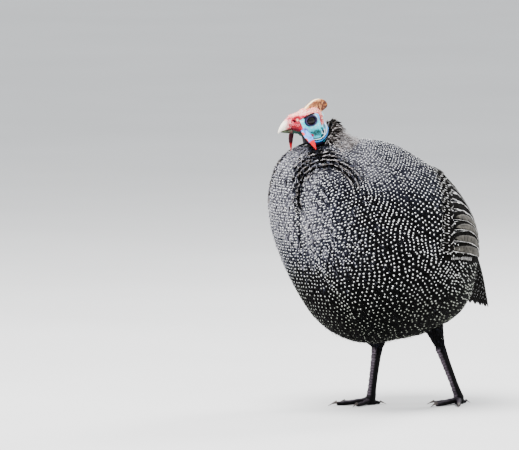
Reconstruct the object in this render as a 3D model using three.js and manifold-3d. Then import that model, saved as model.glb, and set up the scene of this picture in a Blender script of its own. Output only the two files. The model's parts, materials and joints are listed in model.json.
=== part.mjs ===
// A helmeted guinea fowl standing at rest with its plumage fluffed out, life size.
// Millimetres, +Z up. The bird faces -Y, so its left side is on +X, and it stands on z = 0.
import * as THREE from "three";
import { mergeVertices } from "three/addons/utils/BufferGeometryUtils.js";
import Module from "manifold-3d";

const wasm = await Module();
wasm.setup();

const { sin, cos, abs, sign, pow, PI, min, max, hypot } = Math;
const rad = THREE.MathUtils.degToRad;
const vec = (x, y, z) => new THREE.Vector3(x, y, z);

// Driving dimensions
const GAP = 0.3; // clearance between two pieces that touch

// The plumage is a blunt egg whose long axis runs from the neck down to the tail
const BODY = {
  centre: vec(0, -8.4, 231.4),
  halfLength: 162,
  halfHeight: 121.8,
  halfWidth: 121,
  tilt: rad(38.1),
  rearFullness: 0.09,
  power: 1.9,
  rings: 22,
  segments: 34,
};
// Seen from its left, the plumage hangs fuller or flatter than the egg towards these bearings,
// measured from the tail end over the back: [bearing, fullness]
const FULLNESS = [
  [rad(-150), -5],
  [rad(-115), 14],
  [rad(-40), 6.8],
  [rad(25), 2.8],
  [rad(85), -3.6],
  [rad(168), -3],
];
const FULLNESS_SPREAD = rad(24);
const BREAST_FOLD = { angle: rad(14), width: rad(7), depth: 3.5 };

const NECK = {
  collar: vec(0, -88, 370),
  base: vec(0, -68, 318),
  collarTilt: rad(28),
  baseTilt: rad(16),
  collarHalf: { side: 27, back: 29 },
  collarSag: 12,
  bowl: 14,
  baseHalf: { side: 66, back: 54 },
  flare: 1.35,
  folds: 5,
  foldDepth: 2.4,
};

const HEAD = { place: vec(0, -103.8, 386.3), yaw: rad(0), pitch: rad(12) };
const SKULL = { halfWidth: 15.2, halfLength: 22, halfHeight: 16.5, behind: 4 };
const EYE = { radius: 7.2, side: 9.6, forward: 0, up: 0, lid: 5.8, lidThick: 1.5 };
const BILL = { base: 26 };
const CASQUE = { halfThick: 5, edge: 1.8 };
const WATTLE = { steps: 7, thick: 2.6 };

// The wing lies in a hollow of the plumage. Each row of the plan gives how far back it is from the
// neck end, and where the wing's lower and upper borders are up from the side, all in degrees.
const WING = { hollow: 5, lift: 1.5, stations: 14, sections: 9, fade: 9, rooted: -0.4 };
const WING_PLAN = [
  [52, 10, 26],
  [66, -4, 50],
  [82, -8, 64],
  [98, -4, 71],
  [112, 2, 77],
  [126, 14, 76],
  [140, 40, 62],
];
// Tiers of wing feathers. Each tier runs from the uppermost feather to the lowest, and root and tip
// give where it starts and ends on the plumage: degrees back from the neck end, and degrees up
// from the side.
const WING_TIERS = [
  {
    count: 11,
    roots: [
      [92, 68],
      [108, 4],
    ],
    tips: [
      [117, 77],
      [142, 46],
    ],
    halfWidth: 6.9,
    edges: [2.1, 2.6, 3.3],
    steps: 4,
  },
  {
    count: 9,
    roots: [
      [89, 68],
      [106, 3],
    ],
    tips: [
      [100, 66],
      [118, 8],
    ],
    halfWidth: 7.4,
    edges: [3.4, 4, 4.5],
    steps: 3,
  },
];

const LEG = { apart: 50, jointHeight: 9, hockHeight: 78, depth: 5.6, halfWidth: 4.4, scutes: 9 };
const LEFT_FOOT = { back: 118, hockBack: 88, splay: rad(20) };
const RIGHT_FOOT = { back: 11, hockBack: 21, splay: rad(12) };
const TOES = [
  { name: "inner", length: 34, claw: 10, turn: rad(-38), thick: 3.6 },
  { name: "middle", length: 48, claw: 12, turn: rad(0), thick: 4.2 },
  { name: "outer", length: 37, claw: 10, turn: rad(38), thick: 3.6 },
  { name: "hind", length: 13, claw: 8, turn: rad(176), thick: 3.2 },
];

// Colours, roughness and metalness
const look = (color, roughness) => new THREE.MeshStandardMaterial({ color, roughness, metalness: 0 });
const PLUMAGE = look(0x35353d, 0.85);
const WING_BROWN = look(0x4a4643, 0.8);
const FACE_BLUE = look(0x7fb6d0, 0.55);
const WATTLE_RED = look(0xc8323c, 0.5);
const HORN = look(0xd9c7ae, 0.45);
const CASQUE_TAN = look(0xb98a56, 0.5);
const EYE_BLACK = look(0x120d0c, 0.1);
const SHANK = look(0x2b272b, 0.6);
const CLAW = look(0x3a332f, 0.45);

// Solids from closed surfaces

// Joins rings of equal point counts into one closed surface, with a fan over each end. The first
// fan can be sunk into a bowl.
function loft(rings, bowl = 0) {
  const count = rings[0].length;
  const points = rings.flat();
  const faces = [];
  for (let r = 0; r + 1 < rings.length; r++) {
    for (let i = 0; i < count; i++) {
      const a = r * count + i;
      const b = r * count + ((i + 1) % count);
      faces.push(a, b, a + count, b, b + count, a + count);
    }
  }
  for (const [ring, first, turn] of [
    [rings[0], 0, true],
    [rings.at(-1), (rings.length - 1) * count, false],
  ]) {
    const middle = ring.reduce((sum, p) => sum.clone().add(p), vec(0, 0, 0)).divideScalar(count);
    if (turn) middle.z -= bowl;
    points.push(middle);
    const hub = points.length - 1;
    for (let i = 0; i < count; i++) {
      const a = first + i;
      const b = first + ((i + 1) % count);
      faces.push(...(turn ? [hub, b, a] : [hub, a, b]));
    }
  }
  return new THREE.BufferGeometry().setFromPoints(points).setIndex(faces);
}

// A closed three.js geometry as a solid, turned the right way out if it came inside out.
function solid(geometry, matrix = new THREE.Matrix4()) {
  const bare = new THREE.BufferGeometry()
    .setAttribute("position", geometry.getAttribute("position").clone())
    .setIndex(geometry.index);
  const merged = mergeVertices(bare.applyMatrix4(matrix), 1e-3);
  const corners = [...merged.index.array];
  const flat = [];
  for (let i = 0; i < corners.length; i += 3) {
    const [a, b, c] = corners.slice(i, i + 3);
    if (a !== b && b !== c && c !== a) flat.push(a, b, c);
  }
  const build = (triVerts) =>
    new wasm.Manifold(
      new wasm.Mesh({
        numProp: 3,
        vertProperties: merged.attributes.position.array,
        triVerts: new Uint32Array(triVerts),
      }),
    );
  const made = build(flat);
  return made.volume() > 0 ? made : build(flat.reverse());
}

const fuse = (pieces) => pieces.reduce((whole, piece) => whole.add(piece));

// The largest closed body of a solid: a cut can leave loose scraps.
function largest(made) {
  const bodies = made.decompose().filter((body) => body.volume() > 0);
  return bodies.reduce((best, body) => (body.volume() > best.volume() ? body : best));
}

function named(name, made, material) {
  const { vertProperties, triVerts, numProp } = largest(made).getMesh();
  const positions = [];
  for (let i = 0; i < vertProperties.length; i += numProp) {
    positions.push(...vertProperties.subarray(i, i + 3));
  }
  const geometry = new THREE.BufferGeometry()
    .setAttribute("position", new THREE.Float32BufferAttribute(positions, 3))
    .setIndex([...triVerts]);
  const mesh = new THREE.Mesh(geometry, material);
  mesh.name = name;
  return mesh;
}

// A ring of points round a centre, on two perpendicular half axes.
function ring(centre, across, up, count, shape = () => 1) {
  return Array.from({ length: count }, (_, i) => {
    const t = (i / count) * 2 * PI;
    const r = shape(t);
    return centre.clone().addScaledVector(across, r * cos(t)).addScaledVector(up, r * sin(t));
  });
}

const ellipsoid = (centre, half, wide = 14, high = 10) =>
  solid(
    new THREE.SphereGeometry(1, wide, high),
    new THREE.Matrix4().makeScale(half.x, half.y, half.z).setPosition(centre),
  );

// The smooth body surface

const REARWARD = vec(0, cos(BODY.tilt), -sin(BODY.tilt)); // along the axis, neck to tail
const BACKWARD = vec(0, sin(BODY.tilt), cos(BODY.tilt)); // from the axis to the back
const SIDEWARD = vec(1, 0, 0);
const signedPower = (value, power) => sign(value) * pow(abs(value), power);

// theta runs from the neck end (0) to the tail end (PI), and psi round the axis from the left side.
function bodyPoint(theta, psi) {
  const along = -BODY.halfLength * signedPower(cos(theta), 2 / BODY.power);
  const girth = pow(max(sin(theta), 0), 2 / BODY.power) * (1 - BODY.rearFullness * cos(theta));
  return BODY.centre
    .clone()
    .addScaledVector(REARWARD, along)
    .addScaledVector(BACKWARD, girth * BODY.halfHeight * sin(psi))
    .addScaledVector(SIDEWARD, girth * BODY.halfWidth * cos(psi));
}

// How far out of the body a point is: 1 on its surface, less inside.
function bodyLevel(point) {
  const from = point.clone().sub(BODY.centre);
  const along = -from.dot(REARWARD) / BODY.halfLength;
  const fullness = 1 - BODY.rearFullness * signedPower(max(-1, min(1, along)), BODY.power / 2);
  const girth = hypot(from.dot(BACKWARD) / BODY.halfHeight, from.x / BODY.halfWidth) / fullness;
  return pow(abs(along), BODY.power) + pow(girth, BODY.power);
}

function smoothNormal(point) {
  const step = 0.5;
  const level = (axis, by) => bodyLevel(point.clone().addScaledVector(axis, by));
  const slope = (axis) => level(axis, step) - level(axis, -step);
  return vec(slope(vec(1, 0, 0)), slope(vec(0, 1, 0)), slope(vec(0, 0, 1))).normalize();
}

// How far the plumage stands out from the plain egg, where its surface faces along normal.
function fullnessAt(normal) {
  const bearing = Math.atan2(normal.z, normal.y);
  const sum = FULLNESS.reduce((total, [place, amount]) => {
    const away = Math.atan2(sin(bearing - place), cos(bearing - place));
    return total + amount * Math.exp(-pow(away / FULLNESS_SPREAD, 2));
  }, 0);
  return sum * hypot(normal.y, normal.z);
}

// The wing's lower and upper borders where it is theta degrees back.
function wingBorders(theta) {
  const next = WING_PLAN.findIndex(([place]) => place >= theta);
  if (next < 1) return next === 0 && theta === WING_PLAN[0][0] ? WING_PLAN[0].slice(1) : null;
  const [from, low, high] = WING_PLAN[next - 1];
  const [to, nextLow, nextHigh] = WING_PLAN[next];
  const t = (theta - from) / (to - from);
  return [low + (nextLow - low) * t, high + (nextHigh - high) * t];
}

// 1 under the middle of a wing, fading to 0 at its border.
function underWing(theta, psi) {
  const back = THREE.MathUtils.radToDeg(theta);
  const borders = wingBorders(back);
  if (!borders) return 0;
  const up = THREE.MathUtils.radToDeg(Math.asin(sin(psi)));
  const [front, rear] = [WING_PLAN[0][0], WING_PLAN.at(-1)[0]];
  const inside = min(up - borders[0], borders[1] - up, back - front, rear - back);
  return min(1, max(0, inside / WING.fade));
}

// A place on the plumage, grown outwards by lift. The wings' hollow is filled unless hollow is 1.
function surfaceAt(theta, psi, lift = 0, hollow = 0) {
  const point = bodyPoint(theta, psi);
  const normal = smoothNormal(point);
  const out = fullnessAt(normal) - foldAt(point) - hollow * WING.hollow * underWing(theta, psi);
  return point.addScaledVector(normal, out + lift);
}

// The body as a closed solid.
function bodySolid(lift, hollow = 0) {
  const rings = [];
  for (let r = 1; r < BODY.rings; r++) {
    const theta = (r / BODY.rings) * PI;
    const place = (_, i) => surfaceAt(theta, (i / BODY.segments) * 2 * PI, lift, hollow);
    rings.push(Array.from({ length: BODY.segments }, place));
  }
  const geometry = loft(rings);
  const position = geometry.getAttribute("position");
  [0, PI].forEach((theta, i) => {
    const end = surfaceAt(theta, 0, lift, hollow);
    position.setXYZ(position.count - 2 + i, end.x, end.y, end.z);
  });
  return solid(geometry);
}

// The plumage parts in a shallow fold down the left of the breast.
function foldAt(point) {
  const from = point.clone().sub(BODY.centre);
  const bearing = Math.atan2(from.x, -from.y);
  const near = Math.exp(-pow((bearing - BREAST_FOLD.angle) / BREAST_FOLD.width, 2));
  const facing = max(0, min(1, (-from.y - 40) / 60));
  return BREAST_FOLD.depth * near * facing;
}

const torsoGrown = bodySolid(GAP, 1);

// Neck: ruffled plumage that falls from the collar under the head to the shoulders
function neckSolid(lift) {
  const between = (a, b, t) => a + (b - a) * t;
  const steps = NECK.folds * 3;
  const rings = [];
  for (let i = 0; i <= steps; i++) {
    const down = i / steps;
    const tilt = between(NECK.collarTilt, NECK.baseTilt, down);
    const spread = pow(down, NECK.flare);
    const grow = NECK.foldDepth * ((i % 3) / 2 - 0.5) * min(1, down * 2) + lift;
    const side = between(NECK.collarHalf.side, NECK.baseHalf.side, spread) + grow;
    const back = between(NECK.collarHalf.back, NECK.baseHalf.back, spread) + grow;
    const centre = NECK.collar.clone().lerp(NECK.base, down);
    if (!i) centre.z += lift;
    const around = ring(centre, vec(side, 0, 0), vec(0, back * cos(tilt), back * sin(tilt)), 26);
    // the collar hangs lower at the sides than in front and behind
    const sag = NECK.collarSag * pow(1 - down, 2);
    rings.push(around.map((p) => vec(p.x, p.y, p.z - sag * pow(p.x / side, 2))));
  }
  return solid(loft(rings, NECK.bowl));
}

// Head, in its own frame: -Y forward, +X to its left, the eyes on z = 0
const headMatrix = new THREE.Matrix4()
  .makeRotationFromEuler(new THREE.Euler(HEAD.pitch, 0, HEAD.yaw, "ZXY"))
  .setPosition(HEAD.place);
const headInverse = headMatrix.clone().invert();
const SIDES = [
  ["left", 1],
  ["right", -1],
];

// Rings across the face at distances forward of the eyes: [forward, half width, top, bottom]
function faceLoft(stations, count = 12) {
  return solid(
    loft(
      stations.map(([forward, half, top, bottom]) =>
        ring(vec(0, -forward, (top + bottom) / 2), vec(half, 0, 0), vec(0, 0, (top - bottom) / 2), count),
      ),
    ),
  );
}

function eyeCentre(side) {
  return vec(side * EYE.side, -EYE.forward, EYE.up);
}

// The face from the crown to the bill, narrowing forwards: [forward, half width, top, bottom]
const FACE = [
  [-4, 14.2, 14.5, -16],
  [5, 13, 13.4, -17],
  [11, 11.4, 13.3, -16.6],
  [18, 9.2, 13, -14.4],
  [23, 7.8, 11.6, -12.8],
  [BILL.base, 7.2, 10.4, -11.8],
];

function headSolid() {
  const skull = ellipsoid(
    vec(0, SKULL.behind, 0),
    vec(SKULL.halfWidth, SKULL.halfLength, SKULL.halfHeight),
    20,
    12,
  );
  const face = faceLoft(FACE, 14);
  const jowl = ellipsoid(vec(0, 3, -13), vec(13.4, 18, 11), 14, 8);
  const neck = solid(
    loft([
      ring(vec(0, 8, -6), vec(14.4, 0, 0), vec(0, 17, 0), 14),
      ring(vec(0, 10, -18), vec(15.4, 0, 0), vec(0, 20, 0), 14),
      ring(vec(0, 9, -40), vec(15.4, 0, 0), vec(0, 18, 0), 14),
    ]),
  );
  const crown = ellipsoid(vec(0, 9, 11), vec(9, 14, 6), 12, 6);
  let head = fuse([skull, face, jowl, neck, crown]);
  for (const [, side] of SIDES) {
    const centre = eyeCentre(side);
    const rim = vec(side * (EYE.side + 4.4), -EYE.forward, EYE.up);
    const lids = solid(
      new THREE.TorusGeometry(EYE.lid, EYE.lidThick, 6, 14),
      new THREE.Matrix4().makeRotationY(PI / 2).setPosition(rim),
    );
    const socket = ellipsoid(centre, vec(1, 1, 1).multiplyScalar(EYE.radius + GAP), 16, 10);
    const ear = ellipsoid(vec(side * 14.8, 15.2, -17.2), vec(3.4, 2.2, 2.6), 8, 6);
    const nostril = ellipsoid(vec(side * 7.6, -22, 2.5), vec(2.2, 2.4, 1.1), 8, 6);
    const caruncle = ellipsoid(vec(side * 5.6, -19, 9.4), vec(3, 5, 3), 10, 6);
    head = head.add(lids).add(caruncle).subtract(socket).subtract(ear).subtract(nostril);
  }
  // the line of the mouth, from the bill back to the gape
  const mouth = solid(
    new THREE.BoxGeometry(40, 16, 0.8),
    new THREE.Matrix4().makeRotationX(rad(8)).setPosition(0, -20, -7.4),
  );
  return head.subtract(mouth);
}

// Bill: the upper half hooks over the lower one
// [forward, half width, top, bottom], from the face to the tip
const UPPER_BILL = [
  [BILL.base + GAP, 6.6, 10.6, -5.4],
  [31, 5.9, 8.2, -5.5],
  [36, 4.6, 4.8, -5.4],
  [40, 3.2, 1.3, -5.5],
  [43.4, 1.7, -2.4, -6.4],
  [45, 0.5, -5.2, -7.4],
];
const LOWER_BILL = [
  [BILL.base + GAP, 6, -5.2, -11.6],
  [31, 5, -5.3, -10.4],
  [36, 3.6, -5.2, -8.8],
  [40, 1.6, -5.4, -7.2],
];
const billSolid = (profile) => faceLoft(profile, 12);

// Casque: a horny shield swept back over the crown, drawn from the side and rounded at its edges
function casqueSolid(grown = 0) {
  const outline = new THREE.Shape();
  outline.moveTo(2, 14);
  outline.quadraticCurveTo(-9, 21.5, -18, 23.6);
  outline.quadraticCurveTo(-28, 25, -33, 18);
  outline.quadraticCurveTo(-35.5, 12, -31, 9.6);
  outline.lineTo(-22, 6);
  outline.lineTo(0, 8);
  const geometry = new THREE.ExtrudeGeometry(outline, {
    depth: 2 * (CASQUE.halfThick - CASQUE.edge),
    bevelThickness: CASQUE.edge + grown,
    bevelSize: CASQUE.edge * 0.8 + grown,
    bevelOffset: -CASQUE.edge * 0.8,
    bevelSegments: 2,
    curveSegments: 5,
  });
  // the outline's x is forward, and its y is up
  const turn = new THREE.Matrix4().makeBasis(vec(0, -1, 0), vec(0, 0, 1), vec(-1, 0, 0));
  turn.setPosition(CASQUE.halfThick - CASQUE.edge, 0, -0.8);
  return solid(geometry, turn);
}

// Wattle: a leaf of skin that hangs from the gape. Each leaf follows its own path:
// [outwards, back, up, half width]
const WATTLE_PATHS = {
  left: [
    [9.5, -12.6, -8, 3.6],
    [13.8, -12, -14, 5.8],
    [17.6, -10.4, -20, 6.3],
    [21, -9, -26, 4.9],
    [23.8, -8.2, -31.5, 3.1],
    [26, -7.8, -37, 0.8],
  ],
  right: [
    [9.5, -16.6, -8, 3.6],
    [12.5, -18.2, -14, 4.6],
    [14.4, -19.6, -20.5, 4.4],
    [15.2, -20.6, -27, 3.2],
    [15.6, -21.4, -32.6, 2],
    [15.6, -22, -37.6, 0.7],
  ],
};

function wattleSolid(word, side) {
  const curve = new THREE.CatmullRomCurve3(
    WATTLE_PATHS[word].map(([out, back, up]) => vec(side * out, back, up)),
  );
  const widths = WATTLE_PATHS[word].map(([, , , half]) => half);
  const rings = [];
  for (let i = 0; i <= WATTLE.steps; i++) {
    const t = i / WATTLE.steps;
    const at = t * (widths.length - 1);
    const low = min(Math.floor(at), widths.length - 2);
    const half = widths[low] + (widths[low + 1] - widths[low]) * (at - low);
    const thick = (WATTLE.thick / 2) * (1 - 0.6 * t);
    rings.push(ring(curve.getPoint(t), vec(0, half, 0), vec(side * thick, 0, thick * 0.4), 8));
  }
  return solid(loft(rings));
}

// Feather vane: a thin blade along a spine, widest past its middle and round at its tip. spineAt
// gives its middle line, the way across it and the way out of the plumage. edges are the heights
// of its tucked edge, its quill and its free edge, and it reaches in as far as sunk.
function vaneSolid(spineAt, halfWidth, edges, sunk, steps) {
  const rings = [];
  for (let i = 0; i <= steps; i++) {
    const t = 1 - pow(1 - i / steps, 1.4);
    const { at, across, out } = spineAt(t);
    const round = pow(max(1 - pow(t, 7), 0.04), 0.5);
    const half = halfWidth * (0.6 + 0.4 * sin((PI / 2) * min(1, t * 1.5))) * round;
    const rise = i ? 0.7 + 0.3 * t : 0.1;
    const place = (part, height) =>
      at.clone().addScaledVector(across, part * half).addScaledVector(out, height);
    rings.push([
      place(-1, edges[0] * rise),
      place(0, edges[1] * rise),
      place(1, edges[2] * rise),
      place(1, sunk),
      place(-1, sunk),
    ]);
  }
  return solid(loft(rings));
}

// The spine of a wing feather, over the plumage from root to tip.
function wingSpine(side, root, tip) {
  const placeAt = (t) => {
    const theta = rad(root[0] + (tip[0] - root[0]) * t);
    const up = rad(root[1] + (tip[1] - root[1]) * t);
    return [surfaceAt(theta, side > 0 ? up : PI - up), bodyPoint(theta, side > 0 ? up : PI - up)];
  };
  return (t) => {
    const [at, onEgg] = placeAt(t);
    const along = placeAt(t + 0.02)[0].sub(placeAt(t - 0.02)[0]).normalize();
    const out = smoothNormal(onEgg);
    // across runs from the upper edge to the lower one on either side of the bird
    const across = along.clone().cross(out).multiplyScalar(side).normalize();
    return { at, across, out };
  };
}

// Wing: a plate that hugs the side, from the shoulder to the tip beside the rump, under tiers
// of overlapping feathers
function wingSolid(side) {
  const rings = [];
  const [front, rear] = [WING_PLAN[0][0], WING_PLAN.at(-1)[0]];
  for (let i = 0; i <= WING.stations; i++) {
    const theta = front + ((rear - front) * i) / WING.stations;
    const [low, high] = wingBorders(theta);
    const section = (lift, hollow) =>
      Array.from({ length: WING.sections }, (_, j) => {
        const up = rad(low + ((high - low) * j) / (WING.sections - 1));
        return surfaceAt(rad(theta), side > 0 ? up : PI - up, lift, hollow);
      });
    rings.push([...section(WING.lift, 0), ...section(2 * GAP, 1).reverse()]);
  }
  let wing = solid(loft(rings));
  for (const tier of WING_TIERS) {
    for (let i = 0; i < tier.count; i++) {
      const t = i / (tier.count - 1);
      const between = ([a, b]) => [a[0] + (b[0] - a[0]) * t, a[1] + (b[1] - a[1]) * t];
      const spineAt = wingSpine(side, between(tier.roots), between(tier.tips));
      wing = wing.add(vaneSolid(spineAt, tier.halfWidth, tier.edges, WING.rooted, tier.steps));
    }
  }
  return wing.subtract(torsoGrown);
}

// Tail: steep as a roof, hanging from the rump, with its longest feathers on the ridge
const TAIL = {
  ridge: [vec(0, 100, 240), vec(0, 139, 226), vec(0, 160, 185), vec(0, 179, 125)],
  slope: rad(33),
  span: 45,
  perSide: 6,
  halfWidth: 7,
  thick: 1,
};

function tailSolid() {
  const ridge = new THREE.CatmullRomCurve3(TAIL.ridge);
  // one side's feathers fan out from the ridge, and each is laid under the one above it
  const feather = (side, rank, from, to, lift) => {
    const across = vec(side * sin(TAIL.slope), -cos(TAIL.slope), 0);
    const out = vec(side * cos(TAIL.slope), sin(TAIL.slope), 0.3).normalize();
    const spineAt = (t) => {
      const along = from + (to - from) * t;
      const aside = TAIL.halfWidth * 0.7 + TAIL.span * rank;
      const at = ridge.getPoint(min(1, along)).addScaledVector(across, aside * (0.45 + 0.55 * along));
      return { at, across, out };
    };
    return vaneSolid(spineAt, TAIL.halfWidth, [lift, lift + 0.5, lift], lift - 0.75 - TAIL.thick, 6);
  };
  const pieces = [];
  for (const [, side] of SIDES) {
    for (let i = 0; i < TAIL.perSide; i++) {
      const rank = i / TAIL.perSide;
      pieces.push(feather(side, rank, 0.2, 1 - 0.08 * rank, 0.9 - 0.4 * i));
    }
    for (let i = 0; i < 3; i++) {
      pieces.push(feather(side, i / 3.4, 0.1, 0.72 - 0.07 * i, 2 - 0.6 * i));
    }
  }
  const root = ellipsoid(vec(0, 126, 206), vec(25, 22, 24), 12, 8);
  return fuse([root, ...pieces]).subtract(torsoGrown);
}

// Legs

// A tapering limb along a path of [point, half depth, half width], with level sections.
function limb(path, count, shape) {
  return solid(
    loft(
      path.map(([point, depth, width]) => ring(point, vec(width, 0, 0), vec(0, depth, 0), count, shape)),
    ),
  );
}

function thighSolid(side, foot) {
  const hock = vec((side * LEG.apart) / 2, foot.hockBack, LEG.hockHeight);
  const hip = vec(side * (LEG.apart / 2 + 8), foot.hockBack - 34, 150);
  const path = [0, 0.08, 0.3, 0.6, 1].map((t) => {
    const girth = 6.4 + 23 * pow(t, 0.75);
    return [hock.clone().lerp(hip, t).add(vec(0, 0, GAP)), girth, girth * 0.9];
  });
  return limb(path, 14).subtract(torsoGrown);
}

function tarsusSolid(side, foot, grown = 0) {
  const joint = vec((side * LEG.apart) / 2, foot.back, LEG.jointHeight - grown);
  const hock = vec((side * LEG.apart) / 2, foot.hockBack, LEG.hockHeight);
  const path = [];
  for (let i = 0; i < LEG.scutes; i++) {
    // each scute stands a little proud at its lower edge
    for (const [t, proud] of [
      [i / LEG.scutes, 0.5],
      [(i + 0.86) / LEG.scutes, 0],
    ]) {
      const end = 1 + 0.28 * pow(abs(2 * t - 1), 3);
      const centre = joint.clone().lerp(hock, t).add(vec(0, -proud, 0));
      path.push([centre, LEG.depth * end + proud + grown, LEG.halfWidth * end + grown]);
    }
  }
  path.push([hock, LEG.depth * 1.32 + grown, LEG.halfWidth * 1.4 + grown]);
  return limb(path, 10);
}

function toePath(foot, side, toe) {
  const joint = vec((side * LEG.apart) / 2, foot.back, 0);
  const bearing = side * (foot.splay + toe.turn);
  const way = vec(sin(bearing), -cos(bearing), 0);
  return { joint, way };
}

// A toe is a tapering limb along the ground, flat underneath, with a pad at each joint.
function toeSolid(foot, side, toe) {
  const { joint, way } = toePath(foot, side, toe);
  const across = vec(-way.y, way.x, 0);
  const steps = 7;
  const rings = [];
  for (let i = 0; i <= steps; i++) {
    const t = i / steps;
    const pad = 1 + 0.1 * (i % 2);
    const thick = toe.thick * (1 - 0.32 * t) * pad;
    const height = toe.thick * 0.8 * pow(1 - t, 2) + thick * 0.86;
    const centre = joint.clone().addScaledVector(way, toe.length * t).add(vec(0, 0, height));
    const points = ring(centre, across.clone().multiplyScalar(thick), vec(0, 0, thick), 8);
    rings.push(points.map((p) => vec(p.x, p.y, max(p.z, 0))));
  }
  return solid(loft(rings));
}

function footSolid(side, foot) {
  const joint = vec((side * LEG.apart) / 2, foot.back, 0);
  const palm = limb(
    [
      [joint.clone().add(vec(0, 0, 0)), 6.4, 6],
      [joint.clone().add(vec(0, 0, 5)), 7, 6.4],
      [joint.clone().add(vec(0, 0, LEG.jointHeight - GAP)), 6.2, 5.2],
    ],
    12,
  );
  return fuse([palm, ...TOES.map((toe) => toeSolid(foot, side, toe))]);
}

// A claw curves down from the toe's end to the ground.
function clawSolid(foot, side, toe) {
  const { joint, way } = toePath(foot, side, toe);
  const across = vec(-way.y, way.x, 0);
  const base = toe.thick * 0.68;
  const steps = 4;
  const rings = [];
  for (let i = 0; i <= steps; i++) {
    const t = i / steps;
    const half = max(base * 0.8 * (1 - t), 0.35);
    const height = base * 0.9 * (1 - t * t) + half;
    const centre = joint
      .clone()
      .addScaledVector(way, toe.length + GAP + toe.claw * t)
      .add(vec(0, 0, height));
    const points = ring(centre, across.clone().multiplyScalar(half), vec(0, 0, half), 7);
    rings.push(points.map((p) => vec(p.x, p.y, max(p.z, 0))));
  }
  return solid(loft(rings));
}

// The bird
const bird = new THREE.Group();
const neck = neckSolid(0).subtract(torsoGrown);
const neckGrown = neckSolid(GAP);
const tail = tailSolid();
bird.add(named("torso", bodySolid(0, 1), PLUMAGE));
bird.add(named("neck", neck, PLUMAGE));
bird.add(named("tail", tail, PLUMAGE));
for (const [word, side] of SIDES) {
  bird.add(named("wing_" + word, wingSolid(side).subtract(neckGrown), WING_BROWN));
}

const headGroup = new THREE.Group();
headGroup.position.copy(HEAD.place);
headGroup.rotation.set(HEAD.pitch, 0, HEAD.yaw, "ZXY");
const toManifold = (matrix) => matrix.toArray();
const neckAtHead = neckGrown.transform(toManifold(headInverse));
const torsoAtHead = torsoGrown.transform(toManifold(headInverse));
const casque = casqueSolid();
const head = headSolid().subtract(neckAtHead).subtract(torsoAtHead).subtract(casqueSolid(GAP));
headGroup.add(named("head", head, FACE_BLUE));
headGroup.add(named("casque", casque, CASQUE_TAN));
const billUpper = billSolid(UPPER_BILL);
const billLower = billSolid(LOWER_BILL).subtract(billUpper.translate([0, 0, -GAP]));
headGroup.add(named("bill_upper", billUpper, HORN));
headGroup.add(named("bill_lower", billLower, HORN));
for (const [word, side] of SIDES) {
  const eye = ellipsoid(eyeCentre(side), vec(1, 1, 1).multiplyScalar(EYE.radius), 16, 10);
  headGroup.add(named("eye_" + word, eye, EYE_BLACK));
  const wattle = wattleSolid(word, side)
    .subtract(head.translate([side * GAP, 0, 0]))
    .subtract(head.translate([0, 0, -GAP]))
    .subtract(torsoAtHead)
    .subtract(neckAtHead);
  headGroup.add(named("wattle_" + word, wattle, WATTLE_RED));
}
bird.add(headGroup);

for (const [word, side] of SIDES) {
  const foot = side > 0 ? LEFT_FOOT : RIGHT_FOOT;
  bird.add(named("thigh_" + word, thighSolid(side, foot), PLUMAGE));
  bird.add(named("tarsus_" + word, tarsusSolid(side, foot), SHANK));
  const sole = footSolid(side, foot).subtract(tarsusSolid(side, foot, GAP));
  bird.add(named("foot_" + word, sole, SHANK));
  for (const toe of TOES) {
    bird.add(named(`claw_${word}_${toe.name}`, clawSolid(foot, side, toe), CLAW));
  }
}

// The origin is on the floor, under the middle of the bird's box
const box = new THREE.Box3().setFromObject(bird);
const middle = box.getCenter(vec(0, 0, 0));
bird.position.set(-middle.x, -middle.y, -box.min.z);

export default bird;
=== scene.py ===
# %% [markdown]
# # A guinea fowl, feather by feather
#
# This lesson dresses a standing guinea fowl. The rough solids of the bird come ready made, and they
# fix every size and place. Over them go a bare skin, some eight thousand small feathers with a white
# pearl on each, the long feathers of wing and tail, and a bald blue and red head.
#
# The box round them is kept, to compare with the dressed bird.

# %% The solids
import json
from math import cos, pi, radians, sin

import bmesh
import bpy
import numpy as np
from mathutils import Matrix, Vector
from mathutils import noise as lumps
from mathutils.bvhtree import BVHTree

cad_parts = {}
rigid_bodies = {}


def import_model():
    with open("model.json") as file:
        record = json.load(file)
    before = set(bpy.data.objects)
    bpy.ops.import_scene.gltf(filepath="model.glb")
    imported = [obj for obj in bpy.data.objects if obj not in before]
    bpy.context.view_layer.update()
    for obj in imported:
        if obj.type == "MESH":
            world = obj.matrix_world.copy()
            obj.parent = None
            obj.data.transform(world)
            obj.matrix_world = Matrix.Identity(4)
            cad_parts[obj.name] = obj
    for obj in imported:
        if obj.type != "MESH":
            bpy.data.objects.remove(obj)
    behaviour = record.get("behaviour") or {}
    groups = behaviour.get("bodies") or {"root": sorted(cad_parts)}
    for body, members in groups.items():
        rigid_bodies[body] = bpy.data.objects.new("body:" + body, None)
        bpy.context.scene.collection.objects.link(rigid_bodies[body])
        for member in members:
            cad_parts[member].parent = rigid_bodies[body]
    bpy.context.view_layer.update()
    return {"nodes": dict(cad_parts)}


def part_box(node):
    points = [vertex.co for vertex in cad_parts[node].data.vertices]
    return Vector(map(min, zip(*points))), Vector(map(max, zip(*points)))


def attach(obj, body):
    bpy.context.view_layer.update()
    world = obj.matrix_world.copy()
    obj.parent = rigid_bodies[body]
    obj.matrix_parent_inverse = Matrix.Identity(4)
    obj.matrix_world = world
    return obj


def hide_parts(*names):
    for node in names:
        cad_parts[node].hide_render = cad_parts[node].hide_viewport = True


for leftover in list(bpy.data.objects):
    bpy.data.objects.remove(leftover)
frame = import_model()
MM = 0.001

# %% [markdown]
# The bird was drawn in millimetres with its own origin, facing -Y, and then centred on the floor.
# Knowing where one eye was drawn gives the shift between the drawing and the frame, so that all
# places below can be given as in the drawing: x to the bird's left, y to its rear, z up.

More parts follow.
